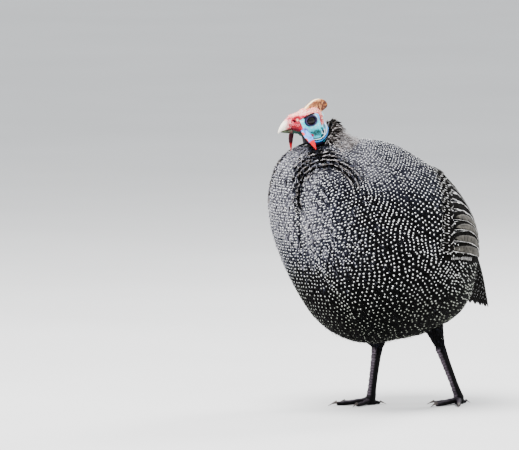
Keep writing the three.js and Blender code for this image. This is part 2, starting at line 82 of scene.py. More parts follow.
# %% From the drawing to the frame
EYE_DRAWN = np.array([9.6, -103.8, 386.3])
eye_low, eye_high = (np.array(corner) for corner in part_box("eye_left"))
SHIFT = (eye_low + eye_high) / 2 / MM - EYE_DRAWN
rng = np.random.default_rng(7)


def to_frame(points):
    """Drawing millimetres to frame metres."""
    return (np.asarray(points, float) + SHIFT) * MM


def to_drawing(points):
    """Frame metres to drawing millimetres."""
    return np.asarray(points, float) / MM - SHIFT


print("shift", np.round(SHIFT, 2))

# %% [markdown]
# The camera stands fourteen metres away with a very long lens, a little above the bird's middle and
# at its left front, so the picture is flat, as a wildlife photograph is. The bird fills the right
# of the picture and looks out over the empty left.

# %% The camera
AZIMUTH, ELEVATION = radians(60), radians(5)
DISTANCE, SENSOR, PICTURE_WIDTH = 14.0, 36.0, 0.690
AIM_ASIDE, AIM_UP = -0.1515, 0.2415
view_right = np.array([cos(AZIMUTH), sin(AZIMUTH), 0])
view_back = np.array([sin(AZIMUTH) * cos(ELEVATION), -cos(AZIMUTH) * cos(ELEVATION), sin(ELEVATION)])
view_up = np.cross(view_back, view_right)
aim = view_right * AIM_ASIDE + view_up * AIM_UP + SHIFT * MM

lens = bpy.data.cameras.new("camera")
lens.sensor_width = SENSOR
lens.lens = SENSOR * DISTANCE / PICTURE_WIDTH
lens.clip_end = 100
camera = bpy.data.objects.new("camera", lens)
axes = Matrix([view_right, view_up, view_back]).transposed().to_4x4()
camera.matrix_world = Matrix.Translation(Vector(aim + view_back * DISTANCE)) @ axes
bpy.context.scene.collection.objects.link(camera)
bpy.context.scene.camera = camera
print("lens", round(lens.lens, 1), "mm")

# %% [markdown]
# Shader sums read best as plain Python. `Flow` wraps one socket of a material's node tree and turns
# `+ - * /` into Math nodes, also with a number on the left.

# %% Sums of sockets
class Flow:
    """A socket that can stand in a sum."""

    def __init__(self, finish, socket):
        self.finish, self.socket = finish, socket

    def sum(self, operation, first, second):
        settings = {"operation": operation}
        return self.finish.node("ShaderNodeMath", settings, {0: first, 1: second})

    def __add__(self, other):
        return self.sum("ADD", self, other)

    def __sub__(self, other):
        return self.sum("SUBTRACT", self, other)

    def __rsub__(self, other):
        return self.sum("SUBTRACT", other, self)

    def __mul__(self, other):
        return self.sum("MULTIPLY", self, other)

    def __truediv__(self, other):
        return self.sum("DIVIDE", self, other)

    __radd__, __rmul__ = __add__, __mul__


# %% [markdown]
# `Finish` is one material under construction. Its `node` adds any node, first its settings, then its
# sockets' values or links, and gives back the socket that comes out. The other methods are short
# ways to the few nodes that the bird needs. All of them read Object coordinates, which stay with
# the piece when it is exported.

# %% A finish
class Finish:
    """A material on a Principled shader."""

    def __init__(self, name, **values):
        self.material = bpy.data.materials.new(name)
        self.material.use_nodes = True
        self.tree = self.material.node_tree
        self.shader = self.tree.nodes["Principled BSDF"]
        for socket, value in values.items():
            self.shader.inputs[socket.replace("_", " ")].default_value = value

    def node(self, kind, settings=None, sockets=None, out=0):
        made = self.tree.nodes.new(kind)
        for key, value in (settings or {}).items():
            if key == "stops":
                ramp = made.color_ramp
                while len(ramp.elements) < len(value):
                    ramp.elements.new(0.5)
                for element, (place, colour) in zip(ramp.elements, value):
                    element.position, element.color = place, (*colour, 1)
            else:
                setattr(made, key, value)
        for key, value in (sockets or {}).items():
            if isinstance(value, Flow):
                self.tree.links.new(value.socket, made.inputs[key])
            else:
                made.inputs[key].default_value = value
        return Flow(self, made.outputs[out])

    def place(self):
        return self.node("ShaderNodeTexCoord", out="Object")

    def attribute(self, name, out="Fac"):
        return self.node("ShaderNodeAttribute", {"attribute_name": name}, out=out)

    def noise(self, scale, detail=3.0):
        sockets = {"Vector": self.place(), "Scale": scale, "Detail": detail}
        return self.node("ShaderNodeTexNoise", None, sockets)

    def ramp(self, factor, *stops):
        return self.node("ShaderNodeValToRGB", {"stops": stops}, {0: factor}, out="Color")

    def blend(self, factor, first, second, how="MIX"):
        """A mix of two colours."""
        settings = {"data_type": "RGBA", "blend_type": how, "clamp_factor": True}
        first, second = ((*c, 1) if isinstance(c, tuple) and len(c) == 3 else c for c in (first, second))
        return self.node("ShaderNodeMix", settings, {0: factor, 6: first, 7: second}, out=2)

    def band(self, value, low, high):
        """0 below low, rising to 1 at high."""
        settings = {"interpolation_type": "SMOOTHSTEP", "clamp": True}
        return self.node("ShaderNodeMapRange", settings, {0: value, 1: low, 2: high})

    def feed(self, socket, flow):
        self.tree.links.new(flow.socket, self.shader.inputs[socket])

    def along(self, direction, start):
        """Millimetres along a direction from a place of the frame."""
        sockets = {0: self.place(), 1: tuple(direction)}
        reach = self.node("ShaderNodeVectorMath", {"operation": "DOT_PRODUCT"}, sockets, out="Value")
        return (reach - float(np.dot(direction, start))) / MM

    def relief(self, height, depth, strength=1.0):
        sockets = {"Height": height, "Distance": depth, "Strength": strength}
        self.feed("Normal", self.node("ShaderNodeBump", None, sockets, out="Normal"))


# %% [markdown]
# Most finishes of feathers are of one kind, a mottled colour on a dull, finely rough surface, so one
# function makes them all.

# %% Mottled finishes
def grey(value, warm=0.0):
    """A near-grey colour, warmer or cooler by a little."""
    return (value * (1 + warm), value, value * (1 - warm))


def mottled(name, grain, *stops, toned=0.0, fine=800.0, depth=0.0004, strength=0.6, **values):
    """A finish coloured by a grain, or by the number `tone` and a little grain, over a fine relief."""
    finish = Finish(name, **values)
    shade = finish.noise(grain)
    if toned:
        shade = finish.attribute("tone") + (shade - 0.5) * toned
    finish.feed("Base Color", finish.ramp(shade, *stops))
    finish.relief(finish.noise(fine, 2.0), depth, strength)
    return finish


# %% [markdown]
# The floor is a plain pale sheet. It is so large that no edge shows from the camera's height, and
# nothing stands on it but the bird, so the bird can be seen from every side.

# %% The studio floor
def mesh_object(name, bm, *materials):
    mesh = bpy.data.meshes.new(name)
    bm.to_mesh(mesh)
    bm.free()
    made = bpy.data.objects.new(name, mesh)
    bpy.context.scene.collection.objects.link(made)
    for material in materials:
        mesh.materials.append(material)
    return made


FLOOR_REACH, FLOOR_TILES = 16, 8
bm = bmesh.new()
bmesh.ops.create_grid(bm, x_segments=FLOOR_TILES, y_segments=FLOOR_TILES, size=FLOOR_REACH)
bmesh.ops.recalc_face_normals(bm, faces=bm.faces)
paper = Finish("studio_paper", Roughness=0.85)
paper.feed("Base Color", paper.ramp(paper.noise(2.2), (0.3, grey(0.62, 0.01)), (0.7, grey(0.66, 0.01))))
paper.relief(paper.noise(400.0), 0.0004, 0.3)
floor = mesh_object("studio_floor", bm, paper.material)
print("floor", len(floor.data.polygons), "faces")

# %% [markdown]
# Soft light: one broad panel high over the bird's front, a weaker one before it and a small one at
# its left to open the shadows, one behind it for the rim of light along the back, and a pale
# surround.

# %% The lights
LIT_AT = Vector((0, 0, 0.25))


def panel(name, at, size, power):
    light = bpy.data.lights.new(name, "AREA")
    light.shape, light.size, light.energy = "DISK", size, power
    made = bpy.data.objects.new(name, light)
    made.location = at
    made.rotation_euler = (LIT_AT - Vector(at)).to_track_quat("-Z", "Y").to_euler()
    bpy.context.scene.collection.objects.link(made)


panel("sky_panel", (0.2, -0.7, 2.4), 1.6, 165)
panel("front_panel", (-0.9, -2.2, 1.3), 1.2, 62)
panel("side_panel", (2.4, -0.4, 1.0), 1.0, 30)
panel("rim_panel", (-0.8, 1.8, 1.8), 0.8, 80)
surround = bpy.data.worlds.new("surround")
surround.use_nodes = True
sky = surround.node_tree.nodes["Background"]
sky.inputs["Color"].default_value = (0.92, 0.96, 1, 1)
sky.inputs["Strength"].default_value = 1.3
bpy.context.scene.world = surround
print("lights", [light.name for light in bpy.data.lights])

# %% [markdown]
# Feathers need a smooth form to lie on. Copies of the torso, neck and wings are merged and remeshed
# as one shell with the Remesh modifier, and `smooth_vert` irons out their facets.

# %% A smooth shell round the plumage
PLUMED = ("torso", "neck", "wing_left", "wing_right")


def joined_copy(*names):
    bm = bmesh.new()
    for name in names:
        bm.from_mesh(frame["nodes"][name].data)
    bmesh.ops.remove_doubles(bm, verts=bm.verts, dist=1e-6)
    return bm


def ironed(bm, verts, passes):
    """Smooth corners of a bmesh a number of times."""
    for _ in range(passes):
        bmesh.ops.smooth_vert(bm, verts=verts, factor=0.5, use_axis_x=True, use_axis_y=True,
                              use_axis_z=True)


def remeshed(bm, voxel, passes):
    """The bmesh as one even skin, smoothed a number of times."""
    holder = mesh_object("holder", bm)
    remesh = holder.modifiers.new("remesh", "REMESH")
    remesh.mode, remesh.voxel_size = "VOXEL", voxel
    bpy.context.view_layer.update()
    depsgraph = bpy.context.evaluated_depsgraph_get()
    smooth = bmesh.new()
    smooth.from_mesh(holder.evaluated_get(depsgraph).to_mesh())
    mesh = holder.data
    bpy.data.objects.remove(holder)
    bpy.data.meshes.remove(mesh)
    ironed(smooth, smooth.verts, passes)
    return smooth


shell = remeshed(joined_copy(*PLUMED), voxel=0.003, passes=14)
shell_tree = BVHTree.FromBMesh(shell)
print("shell", len(shell.faces), "faces")
shell.free()

# %% [markdown]
# Feathers lie like combed hair: they leave the neck, run over the whole body and meet at the tail.
# So each place on the plumage gets two numbers: `a`, how far it is from the neck towards the tail,
# and `b`, how far round it is from the ridge of the back, left positive. A globe has such lines
# between two opposite poles. Here the poles aren't opposite, and one stretch of the globe, as in
# the aberration of starlight, brings them to the neck and the tail and keeps the lines square.

# %% Lines from neck to tail
MIDDLE = np.array([0, -8.4, 231.4])
NECK_AT, TAIL_AT = np.array([0, -90, 368]), np.array([0, 122, 160])


def unit(vectors):
    return vectors / np.maximum(np.linalg.norm(vectors, axis=-1, keepdims=True), 1e-9)


def smooth_step(value, low, high):
    t = np.clip((value - low) / (high - low), 0, 1)
    return t * t * (3 - 2 * t)


from_neck, to_tail = unit(NECK_AT - MIDDLE), unit(TAIL_AT - MIDDLE)
AXIS, RIDGE, LEFT = unit(from_neck - to_tail), unit(from_neck + to_tail), np.array([1.0, 0, 0])
STRETCH = np.linalg.norm(from_neck + to_tail) / 2


def bearing(a, b):
    """The direction from the middle of the body in which the place a, b lies."""
    a, b = np.asarray(a)[..., None], np.asarray(b)[..., None]
    plain = np.cos(a) * AXIS + np.sin(a) * (np.cos(b) * RIDGE + np.sin(b) * LEFT)
    tilt = plain @ RIDGE
    shrink = np.sqrt(1 - STRETCH**2)
    along = (STRETCH + (1 - shrink) * tilt)[..., None] * RIDGE
    return (shrink * plain + along) / (1 + STRETCH * tilt)[..., None]


print("neck and tail lie", round(float(np.degrees(np.arccos(from_neck @ to_tail)))), "degrees apart")

# %% [markdown]
# Every limb or trunk that carries feathers becomes a `Form`, a grid of places over `a` and `b`. It
# gives the place, the way out and the length of a step at any `a` and `b`, so one function can lay
# feathers on the body and on the thighs. The ways out are smoothed, so that neighbours lie alike.

# %% A form for feathers
FACING_PASSES = 4


class Form:
    """A smooth surface on which feathers lie: a grid of places over a and b, closed round b."""

    def __init__(self, points, a_lines, outwards):
        self.points, self.a_lines = points, a_lines
        self.rounds = points.shape[1]
        self.b_lines = np.linspace(-pi, pi, self.rounds, endpoint=False)
        self.step_a = np.gradient(points, a_lines, axis=0)
        turn = 2 * pi / self.rounds
        self.step_b = (np.roll(points, -1, 1) - np.roll(points, 1, 1)) / (2 * turn)
        facing = np.cross(self.step_b, self.step_a)
        facing = unit(facing * np.sign(np.sum(facing * outwards, -1, keepdims=True)))
        for _ in range(FACING_PASSES):
            beside = np.roll(facing, 1, 1) + np.roll(facing, -1, 1)
            facing[1:-1] = unit(facing[1:-1] * 2 + facing[:-2] + facing[2:] + beside[1:-1])
        self.facing = facing

    def read(self, grid, a, b):
        """The value of a grid over this form at a, b."""
        rows = len(self.a_lines) - 1
        reach = self.a_lines[-1] - self.a_lines[0]
        i = np.clip((np.asarray(a) - self.a_lines[0]) / reach * rows, 0, rows - 1e-6)
        j = ((np.asarray(b) + pi) / (2 * pi) * self.rounds) % self.rounds
        i0, j0 = i.astype(int), j.astype(int)
        di, dj = (i - i0)[..., None], (j - j0)[..., None]
        j0, j1 = j0 % self.rounds, (j0 + 1) % self.rounds
        near = grid[i0, j0] * (1 - dj) + grid[i0, j1] * dj
        far = grid[i0 + 1, j0] * (1 - dj) + grid[i0 + 1, j1] * dj
        return near * (1 - di) + far * di

    def at(self, a, b):
        return self.read(self.points, a, b)

    def out(self, a, b):
        return unit(self.read(self.facing, a, b))

    def strides(self, a, b):
        """Millimetres travelled for a step of one along a and along b."""
        return [np.linalg.norm(self.read(step, a, b), axis=-1) for step in (self.step_a, self.step_b)]


def plateau(value, rise_from, rise_to, fall_from, fall_to):
    """0, rising to 1 and falling to 0 again."""
    return smooth_step(value, rise_from, rise_to) * (1 - smooth_step(value, fall_from, fall_to))


def same_side(place, points):
    """A place given on the bird's left, taken to the side on which each point lies."""
    side = np.where(points[..., :1] < 0, -1, 1)
    return np.array(place) * np.concatenate([side, np.ones((*points.shape[:-1], 2))], -1)


# %% [markdown]
# The plumage's form comes from rays shot from outside at the shell. Then it is modelled a little
# further. Where the bird pulls its neck in, the feathers of the collar stand in tiers: rings round a
# spot at each side of the breast, cut into the form as waves. One crease runs down from them, along a
# line of places in degrees of `a` and `b`. A few broad swellings and dents, each told by its place,
# reach and height, are the same on both sides.

# %% The form of the plumage
A_STEPS, B_STEPS, OUTSIDE = 300, 480, 400
TIER_SPOT = (68.3, -113.1, 291.1)
TIER_INNER, TIER_OUTER = 36.5, 72
TIER_APART, TIER_DEPTH = 7.0, 2.6
CREASE = np.radians([(24, 150), (29.4, 155.2), (37.8, 160.5), (51, 165), (66, 168)])
CREASE_DEPTH, CREASE_WIDTH, BREAST_GIRTH = 1.3, 3.2, 130
DENTS = [((8, 18, 348), 34, 4.2), ((46, 104, 285), 34, -1.8), ((15, 22, 88), 26, -3.0)]


def tier_share(a, b, points):
    """How strongly the collar's tiers show at places, 0 to 1, and their wave, -1 to 1."""
    away = np.linalg.norm(points - same_side(TIER_SPOT, points), axis=-1)
    round_neck = np.degrees(np.abs(b))
    share = plateau(away, TIER_INNER - 3, TIER_INNER + 2, TIER_OUTER - 5, TIER_OUTER + 2)
    share = share * plateau(round_neck, 92, 110, 156, 168) * (1 - smooth_step(np.degrees(a), 38, 46))
    uneven = 0.35 * np.sin(round_neck * 0.21 + away * 0.3) + 0.2 * np.sin(round_neck * 0.5)
    return share, np.cos(2 * pi * (away - TIER_INNER) / TIER_APART + uneven)


def crease_share(a, b):
    """How near places lie to the crease down the breast, 0 to 1."""
    middle = np.interp(a, CREASE[:, 0], CREASE[:, 1])
    off = (np.abs(b) - middle) * np.sin(a) * BREAST_GIRTH
    return np.exp(-((off / CREASE_WIDTH) ** 2)) * plateau(a, *np.radians((22, 30, 50, 66)))


a_lines = np.linspace(0, pi, A_STEPS + 1)
a_grid, b_grid = np.meshgrid(a_lines, np.linspace(-pi, pi, B_STEPS, endpoint=False), indexing="ij")
ways = bearing(a_grid, b_grid)
hits = np.empty_like(ways)
for i, row in enumerate(ways):
    for j, way in enumerate(row):
        start = Vector(to_frame(MIDDLE + way * OUTSIDE))
        hits[i, j] = to_drawing(shell_tree.ray_cast(start, Vector(-way))[0])
share, wave = tier_share(a_grid, b_grid, hits)
swell = share * wave * TIER_DEPTH - CREASE_DEPTH * crease_share(a_grid, b_grid)
for place, reach, height in DENTS:
    away = np.linalg.norm(hits - same_side(place, hits), axis=-1)
    swell += height * np.exp(-((away / reach) ** 2))
hits = hits + Form(hits, a_lines, ways).facing * swell[..., None]
plumage = Form(hits, a_lines, ways)
print("plumage spans", np.round(np.ptp(hits.reshape(-1, 3), axis=0), 1), "mm")

# %% [markdown]
# One feather is three thin closed leaves laid on each other: a pale fringe, a dark web that leaves
# only a thin line of the fringe showing, and a white pearl. Each is a small disc with a raised
# middle, closed underneath. Real barbs would be far too many. The discs are drawn out to a leaf
# whose root is narrow and whose tip is round: `across` and `along` are then in half widths and in
# lengths.

# %% Leaf shapes
def lens_shape(points, height):
    """Rim points, a raised middle and the faces of a closed lens on a unit circle."""
    bm = bmesh.new()
    bmesh.ops.create_circle(bm, cap_ends=True, cap_tris=True, segments=points, radius=1)
    bmesh.ops.holes_fill(bm, edges=[e for e in bm.edges if e.is_boundary])
    bmesh.ops.recalc_face_normals(bm, faces=bm.faces)
    for vert in bm.verts:
        if vert.co.length < 0.5:
            vert.co.z = height
    bmesh.ops.recalc_face_normals(bm, faces=bm.faces)
    bm.verts.ensure_lookup_table()
    spots = np.array([vert.co[:] for vert in bm.verts])
    faces = [[vert.index for vert in face.verts] for face in bm.faces]
    bm.free()
    return spots, faces


def leaf_shape(points, height, taper=0.55):
    """The lens drawn out to a leaf: columns are across, along (0 root to 1 tip) and height."""
    spots, faces = lens_shape(points, height)
    along = (spots[:, 1] + 1) / 2
    across = spots[:, 0] * (1 - taper * (1 - along) ** 2)
    return np.stack([across, along, spots[:, 2]], 1), faces


WEB, FRINGE = leaf_shape(points=10, height=0.5), leaf_shape(points=10, height=0.2)
PEARL = lens_shape(points=7, height=0.3)
print("a web has", len(WEB[1]), "faces, a pearl", len(PEARL[1]))

# %% [markdown]
# A whole coat is one mesh: an array of the leaf with a place, size and turn for each copy. Every
# corner of every copy is put on the plumage by its own a and b, so leaves bend with the body. Their
# roots lie deeper than their tips. Where the lines of a form run together, a step counts for at
# least some millimetres, or leaves would be flung about, and none reaches quite to the form's ends.
# The mesh gets smooth faces, a number `tone` from 0, dark, to 1, pale, and the UV map `OFBake`,
# where each leaf is a small patch where its root lies on an unwrap of the plumage.

# %% Laying leaves on the plumage
PATCH, LEAST_A, LEAST_B, FIRST_A, LAST_A = 0.003, 20, 12, 0.004, 0.997


def lay(form, shape, places, across=None, along=None, rise=0.0):
    """The corners of copies of a leaf on a form, in drawing mm. `places` holds arrays of a, b, length,
    half width, heights of root and tip, and turn."""
    spots, _ = shape
    x = (spots[:, 0] if across is None else across) * places["half"][:, None]
    y = (spots[:, 1] if along is None else along) * places["length"][:, None]
    turn_cos, turn_sin = np.cos(places["turn"])[:, None], np.sin(places["turn"])[:, None]
    go_along, go_round = y * turn_cos - x * turn_sin, x * turn_cos + y * turn_sin
    stride_a, stride_b = (stride[:, None] for stride in form.strides(places["a"], places["b"]))
    most = form.a_lines[-1]
    a = places["a"][:, None] + go_along / np.maximum(stride_a, LEAST_A / pi * most)
    a = np.clip(a, FIRST_A * most, LAST_A * most)
    b = places["b"][:, None] + go_round / np.maximum(stride_b, LEAST_B)
    t = np.clip(y / places["length"][:, None], 0, 1) ** places.get("curl", 0.8)
    lift = places["root"][:, None] + (places["tip"] - places["root"])[:, None] * t
    lift = lift + spots[None, :, 2] * places.get("crown", 1.0) + rise
    return form.at(a, b) + form.out(a, b) * lift[..., None]


def coat(name, shape, corners, tone, spots_uv, material):
    """One object of many leaves."""
    faces = shape[1]
    count, size = corners.shape[:2]
    sizes = np.array([len(face) for face in faces])
    loops = np.concatenate([np.array(face) for face in faces])
    vertex = (loops[None, :] + np.arange(count)[:, None] * size).ravel()
    mesh = bpy.data.meshes.new(name)
    mesh.vertices.add(count * size)
    mesh.vertices.foreach_set("co", to_frame(corners.reshape(-1, 3)).astype(np.float32).ravel())
    mesh.loops.add(len(vertex))
    mesh.loops.foreach_set("vertex_index", vertex.astype(np.int32))
    starts = np.concatenate([[0], np.cumsum(np.tile(sizes, count))[:-1]])
    mesh.polygons.add(len(sizes) * count)
    mesh.polygons.foreach_set("loop_start", starts.astype(np.int32))
    mesh.update(calc_edges=True)
    mesh.polygons.foreach_set("use_smooth", np.ones(len(sizes) * count, bool))
    shade = mesh.attributes.new("tone", "FLOAT", "POINT")
    shade.data.foreach_set("value", np.repeat(tone, size).astype(np.float32))
    patch = (shape[0][:, :2] - shape[0][:, :2].min(0)) / np.ptp(shape[0][:, :2], axis=0)
    uv = spots_uv[:, None, :] + patch[None] * PATCH
    layer = mesh.uv_layers.new(name="OFBake")
    layer.data.foreach_set("uv", uv.reshape(-1, 2)[vertex].astype(np.float32).ravel())
    mesh.materials.append(material)
    made = bpy.data.objects.new(name, mesh)
    bpy.context.scene.collection.objects.link(made)
    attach(made, "root")
    triangles = int((sizes - 2).sum()) * count
    print(f"{name}: {count} leaves, {triangles} triangles")
    return made


def coat_halves(name, shape, corners, tone, spots_uv, finish, on_left):
    """A coat as two objects, one for each side of the bird, so that neither grows too big."""
    for word, own in (("_left", on_left), ("_right", ~on_left)):
        coat(name + word, shape, corners[own], tone[own], spots_uv[own], finish.material)


def unwrap(a, b):
    """Where a, b lies on an unwrap of the plumage."""
    u, v = (b + pi) / (2 * pi) % 1, a / pi
    return np.stack([0.01 + 0.97 * u, 0.01 + 0.97 * v], -1)


# %% [markdown]
# The rows. Feathers are small and close on neck, breast and upper back and twice as large on flank
# and belly. `spacing` says how far apart they lie. Adding up steps divided by spacing along each
# line from the neck gives a count that rises by one from row to row, whatever the shape. It starts
# at the collar's rim, inside which the bare neck stands.

# %% How far apart feathers lie
ROW_GAP, SIDE_GAP, COLLAR_FLOOR, NO_COLLAR_ROW = 0.9, 1.04, 340, 4
COLLAR_MIDDLE, COLLAR_SIDE, COLLAR_BACK = -88, 27, 29
CHEST_LOW, CHEST_HIGH = 150, 250
SMALLEST, FLANK_MORE, BELLY_MORE, REAR_MORE = 4.0, 2.9, 1.6, 2.0


def spacing(points, normals):
    """How far apart feathers lie, in mm, at places on the plumage."""
    from_collar = np.linalg.norm(points - NECK_AT, axis=-1)
    grown = smooth_step(from_collar, 75, 225)
    back = smooth_step(normals[..., 2], 0.35, 0.9) * smooth_step(-points[..., 1], -60, 10)
    breast = smooth_step(-normals[..., 1], 0.3, 0.85) * smooth_step(points[..., 2], CHEST_LOW, CHEST_HIGH)
    low = smooth_step(-points[..., 2], -210, -130) * smooth_step(points[..., 1], -60, 40)
    rear = smooth_step(points[..., 1], 55, 105) * (1 - back)
    on_flank = FLANK_MORE * grown * (1 - 0.7 * back) * (1 - 0.72 * breast)
    return SMALLEST + on_flank + BELLY_MORE * low + REAR_MORE * rear


def from_neck_middle(points):
    """How far out of the neck's middle places lie, 1 at the collar's rim."""
    return np.hypot(points[..., 0] / COLLAR_SIDE, (points[..., 1] - COLLAR_MIDDLE) / COLLAR_BACK)


apart = spacing(plumage.points, plumage.facing)
bowl = (from_neck_middle(hits) < 0.7) & (hits[..., 2] > COLLAR_FLOOR)
first = np.array([np.nonzero(column)[0].max() + 1 if column.any() else NO_COLLAR_ROW for column in bowl.T])
stride = np.linalg.norm(plumage.step_a, axis=-1) * (a_lines[1] - a_lines[0]) / (apart * ROW_GAP)
rows = np.cumsum(stride, axis=0)
rows = rows - rows[first, np.arange(B_STEPS)][None, :]
print("feathers lie", round(float(apart.min()), 1), "to", round(float(apart.max()), 1), "mm apart")

# %% [markdown]
# Along a row the feathers are shared out evenly, and the next row's lie in the gaps. Their number
# changes only when they would get too wide or too narrow, so the pearls keep to a lattice. The left
# side is made and mirrored.

# %% Rows of feathers
TIGHTEST, LOOSEST, NECK_END, TAIL_END, NEAR_MIDDLE = 0.87, 1.17, 0.02, pi - 0.06, 1e-6
left_lines = np.arange(B_STEPS // 2, B_STEPS + 1) % B_STEPS
left_b = np.linspace(0, pi, len(left_lines))
columns, found = 0, []
for k in range(int(rows[-1, left_lines].max())):
    row_a = np.array([np.interp(k, rows[:, j], a_lines, left=0) for j in left_lines])
    ring = plumage.at(row_a, left_b)
    steps = np.linalg.norm(np.diff(ring, axis=0), axis=-1)
    gaps = plumage.read(apart[..., None], row_a, left_b)[..., 0] * SIDE_GAP
    counted = np.concatenate([[0], np.cumsum(steps / (gaps[1:] + gaps[:-1]) * 2)])
    if not columns or not TIGHTEST < counted[-1] / columns < LOOSEST:
        columns = max(3, round(counted[-1]))
    evenly = (np.arange(columns + 1) + 0.5 * (k % 2)) / columns
    wanted = evenly[evenly < 1 + NEAR_MIDDLE] * counted[-1]
    found_b = np.interp(wanted, counted, left_b)
    found_a = np.interp(found_b, left_b, row_a)
    wide = np.interp(found_b, left_b, gaps) * counted[-1] / columns
    keep = (found_a > NECK_END) & (found_a < TAIL_END)
    found.append(np.stack([found_a, found_b, wide], 1)[keep])
found = np.concatenate(found)
off_middle = (found[:, 1] > NEAR_MIDDLE) & (found[:, 1] < pi - NEAR_MIDDLE)
row_a, row_b, row_wide = np.concatenate([found, found[off_middle] * (1, -1, 1)]).T
print(len(row_a), "places for feathers")

# %% [markdown]
# Two stretches stay free of small feathers: the folded flight feathers, whose outline is drawn in
# degrees of `a` and `b`, and a round patch over each leg, where the thigh has feathers of its own.
# A leg is told by its ankle and its hock, which is the joint that shows below the thigh's feathers.

# %% Where other feathers lie
FLIGHT_AREA = np.radians([(91, 24), (92, 54), (97, 63.8), (101, 73), (107, 83), (117, 88), (127, 76),
                          (138, 62), (141, 53), (134, 36), (117, 19), (104, 18)])
LEGS = {1: (np.array([25, 118, 9]), np.array([25, 88, 78])),
        -1: (np.array([-25, 11, 9]), np.array([-25, 21, 78]))}
LEG_REACH, LEG_TOP = 26, 108


def within(a, b, outline):
    """Which places lie inside a closed outline."""
    inside = np.zeros(len(a), bool)
    for (a0, b0), (a1, b1) in zip(outline, np.roll(outline, -1, 0)):
        crosses = (b0 > b) != (b1 > b)
        with np.errstate(divide="ignore", invalid="ignore"):
            inside ^= crosses & (a < (a1 - a0) * (b - b0) / (b1 - b0) + a0)
    return inside


root_at = plumage.at(row_a, row_b)
hocks_at = np.array([hock[:2] for _, hock in LEGS.values()])
to_leg = np.linalg.norm(root_at[:, None, :2] - hocks_at, axis=-1).min(1)
bare = within(row_a, np.abs(row_b), FLIGHT_AREA) | ((to_leg < LEG_REACH) & (root_at[:, 2] < LEG_TOP))
row_a, row_b, row_wide, root_at = (values[~bare] for values in (row_a, row_b, row_wide, root_at))
count = len(row_a)
print(count, "feathers")

# %% [markdown]
# A feather is more than twice as long as the rows are apart, so that only its tip shows. Its root
# is sunk in the coat. Its place, its turn and the height of its tip stray a little, and place and
# turn stray more on breast and mantle, where the coat is looser.

# %% The body feathers
SHOWN, LENGTH, HALF, ROOT = 1.9, 2.4, 0.64, -3.2
apart_here = spacing(root_at, plumage.out(row_a, row_b))
stride_a, stride_b = plumage.strides(row_a, row_b)
stride_a, stride_b = np.maximum(stride_a, LEAST_A), np.maximum(stride_b, LEAST_B)
show_a = np.minimum(row_a + SHOWN * apart_here / stride_a, pi - 0.02)
at, out = plumage.at(show_a, row_b), plumage.out(show_a, row_b)
on_left = row_b >= 0
breast = smooth_step(-out[:, 1], 0.3, 0.8) * smooth_step(at[:, 2], CHEST_LOW, CHEST_HIGH)
mantle = smooth_step(out[:, 2], 0.3, 0.8) * smooth_step(-at[:, 1], -50, 20)
loose = 1 + 0.6 * breast + 0.3 * mantle


def stray(spread):
    """Small random departures, one for each feather."""
    return rng.normal(0, spread, count)


feathers = {
    "a": row_a + stray(0.06) * loose * apart_here / stride_a,
    "b": row_b + stray(0.06) * loose * row_wide / stride_b,
    "length": apart_here * LENGTH,
    "half": row_wide * HALF,
    "root": np.full(count, ROOT),
    "tip": 0.2 + 0.06 * apart_here + np.abs(stray(0.3)),
    "turn": stray(0.07) * (1 + 1.6 * breast + 0.8 * mantle),
    "crown": 0.8,
}
print("a feather is", round(float(feathers["length"].mean()), 1), "mm long on average")

# %% [markdown]
# What each feather looks like depends on where its tip shows: `tone` runs from the black of the
# belly to the pale grey of breast, neck and back. Part of that is painted light: the plumage is
# paler where it faces up, a painted top light, and darker low on the belly, partly its darker
# feathers and partly painted shade. In the tiers of the collar the crests are paler and the furrows
# are painted dark, and so is the crease below them, as painted shade. Of the three leaves of each
# feather, fringe and web are laid here.
# The finishes keep their shine low, because barbs scatter light and black feathers would look grey.

# %% The coat of body feathers
WEB_BREADTH, WEB_REACH, WEB_LIFT = 0.86, 0.945, 0.22


def tone_at(a, b, at, out):
    """How pale the plumage is at places, 0 to 1, with painted top light and painted shade in it."""
    height, rearward = at[:, 2], at[:, 1]
    breast = smooth_step(-out[:, 1], 0.3, 0.95) * smooth_step(height, CHEST_LOW - 20, CHEST_HIGH)
    # Where the plumage faces up it is made paler: painted top light.
    back = smooth_step(out[:, 2], 0.2, 0.75) * (1 - 0.5 * smooth_step(rearward, 0, 90))
    # Low down it is darker: partly darker belly feathers, partly painted shade.
    belly_dark_and_shaded = 1 - smooth_step(height, 110, 255)
    share, wave = tier_share(a, b, at)
    tone = 0.3 + 0.5 * breast + (0.34 + 0.22 * smooth_step(-rearward, 0, 50)) * back
    tone -= 0.32 * belly_dark_and_shaded + 0.14 * smooth_step(rearward, 30, 100)
    # The tiers' furrows and the breast's crease are darkened: painted shade.
    tone += share * (0.4 * wave - 0.5) - 0.3 * crease_share(a, b)
    in_collar = (1 - smooth_step(from_neck_middle(at), 1.0, 1.3)) * smooth_step(height, 330, 345)
    tone -= 0.5 * in_collar * (1 - smooth_step(np.degrees(np.abs(b)), 140, 165))
    return np.clip(tone, 0, 1)


tone = np.clip(tone_at(show_a, row_b, at, out) + stray(0.05), 0, 1)
patches = unwrap(row_a, row_b)

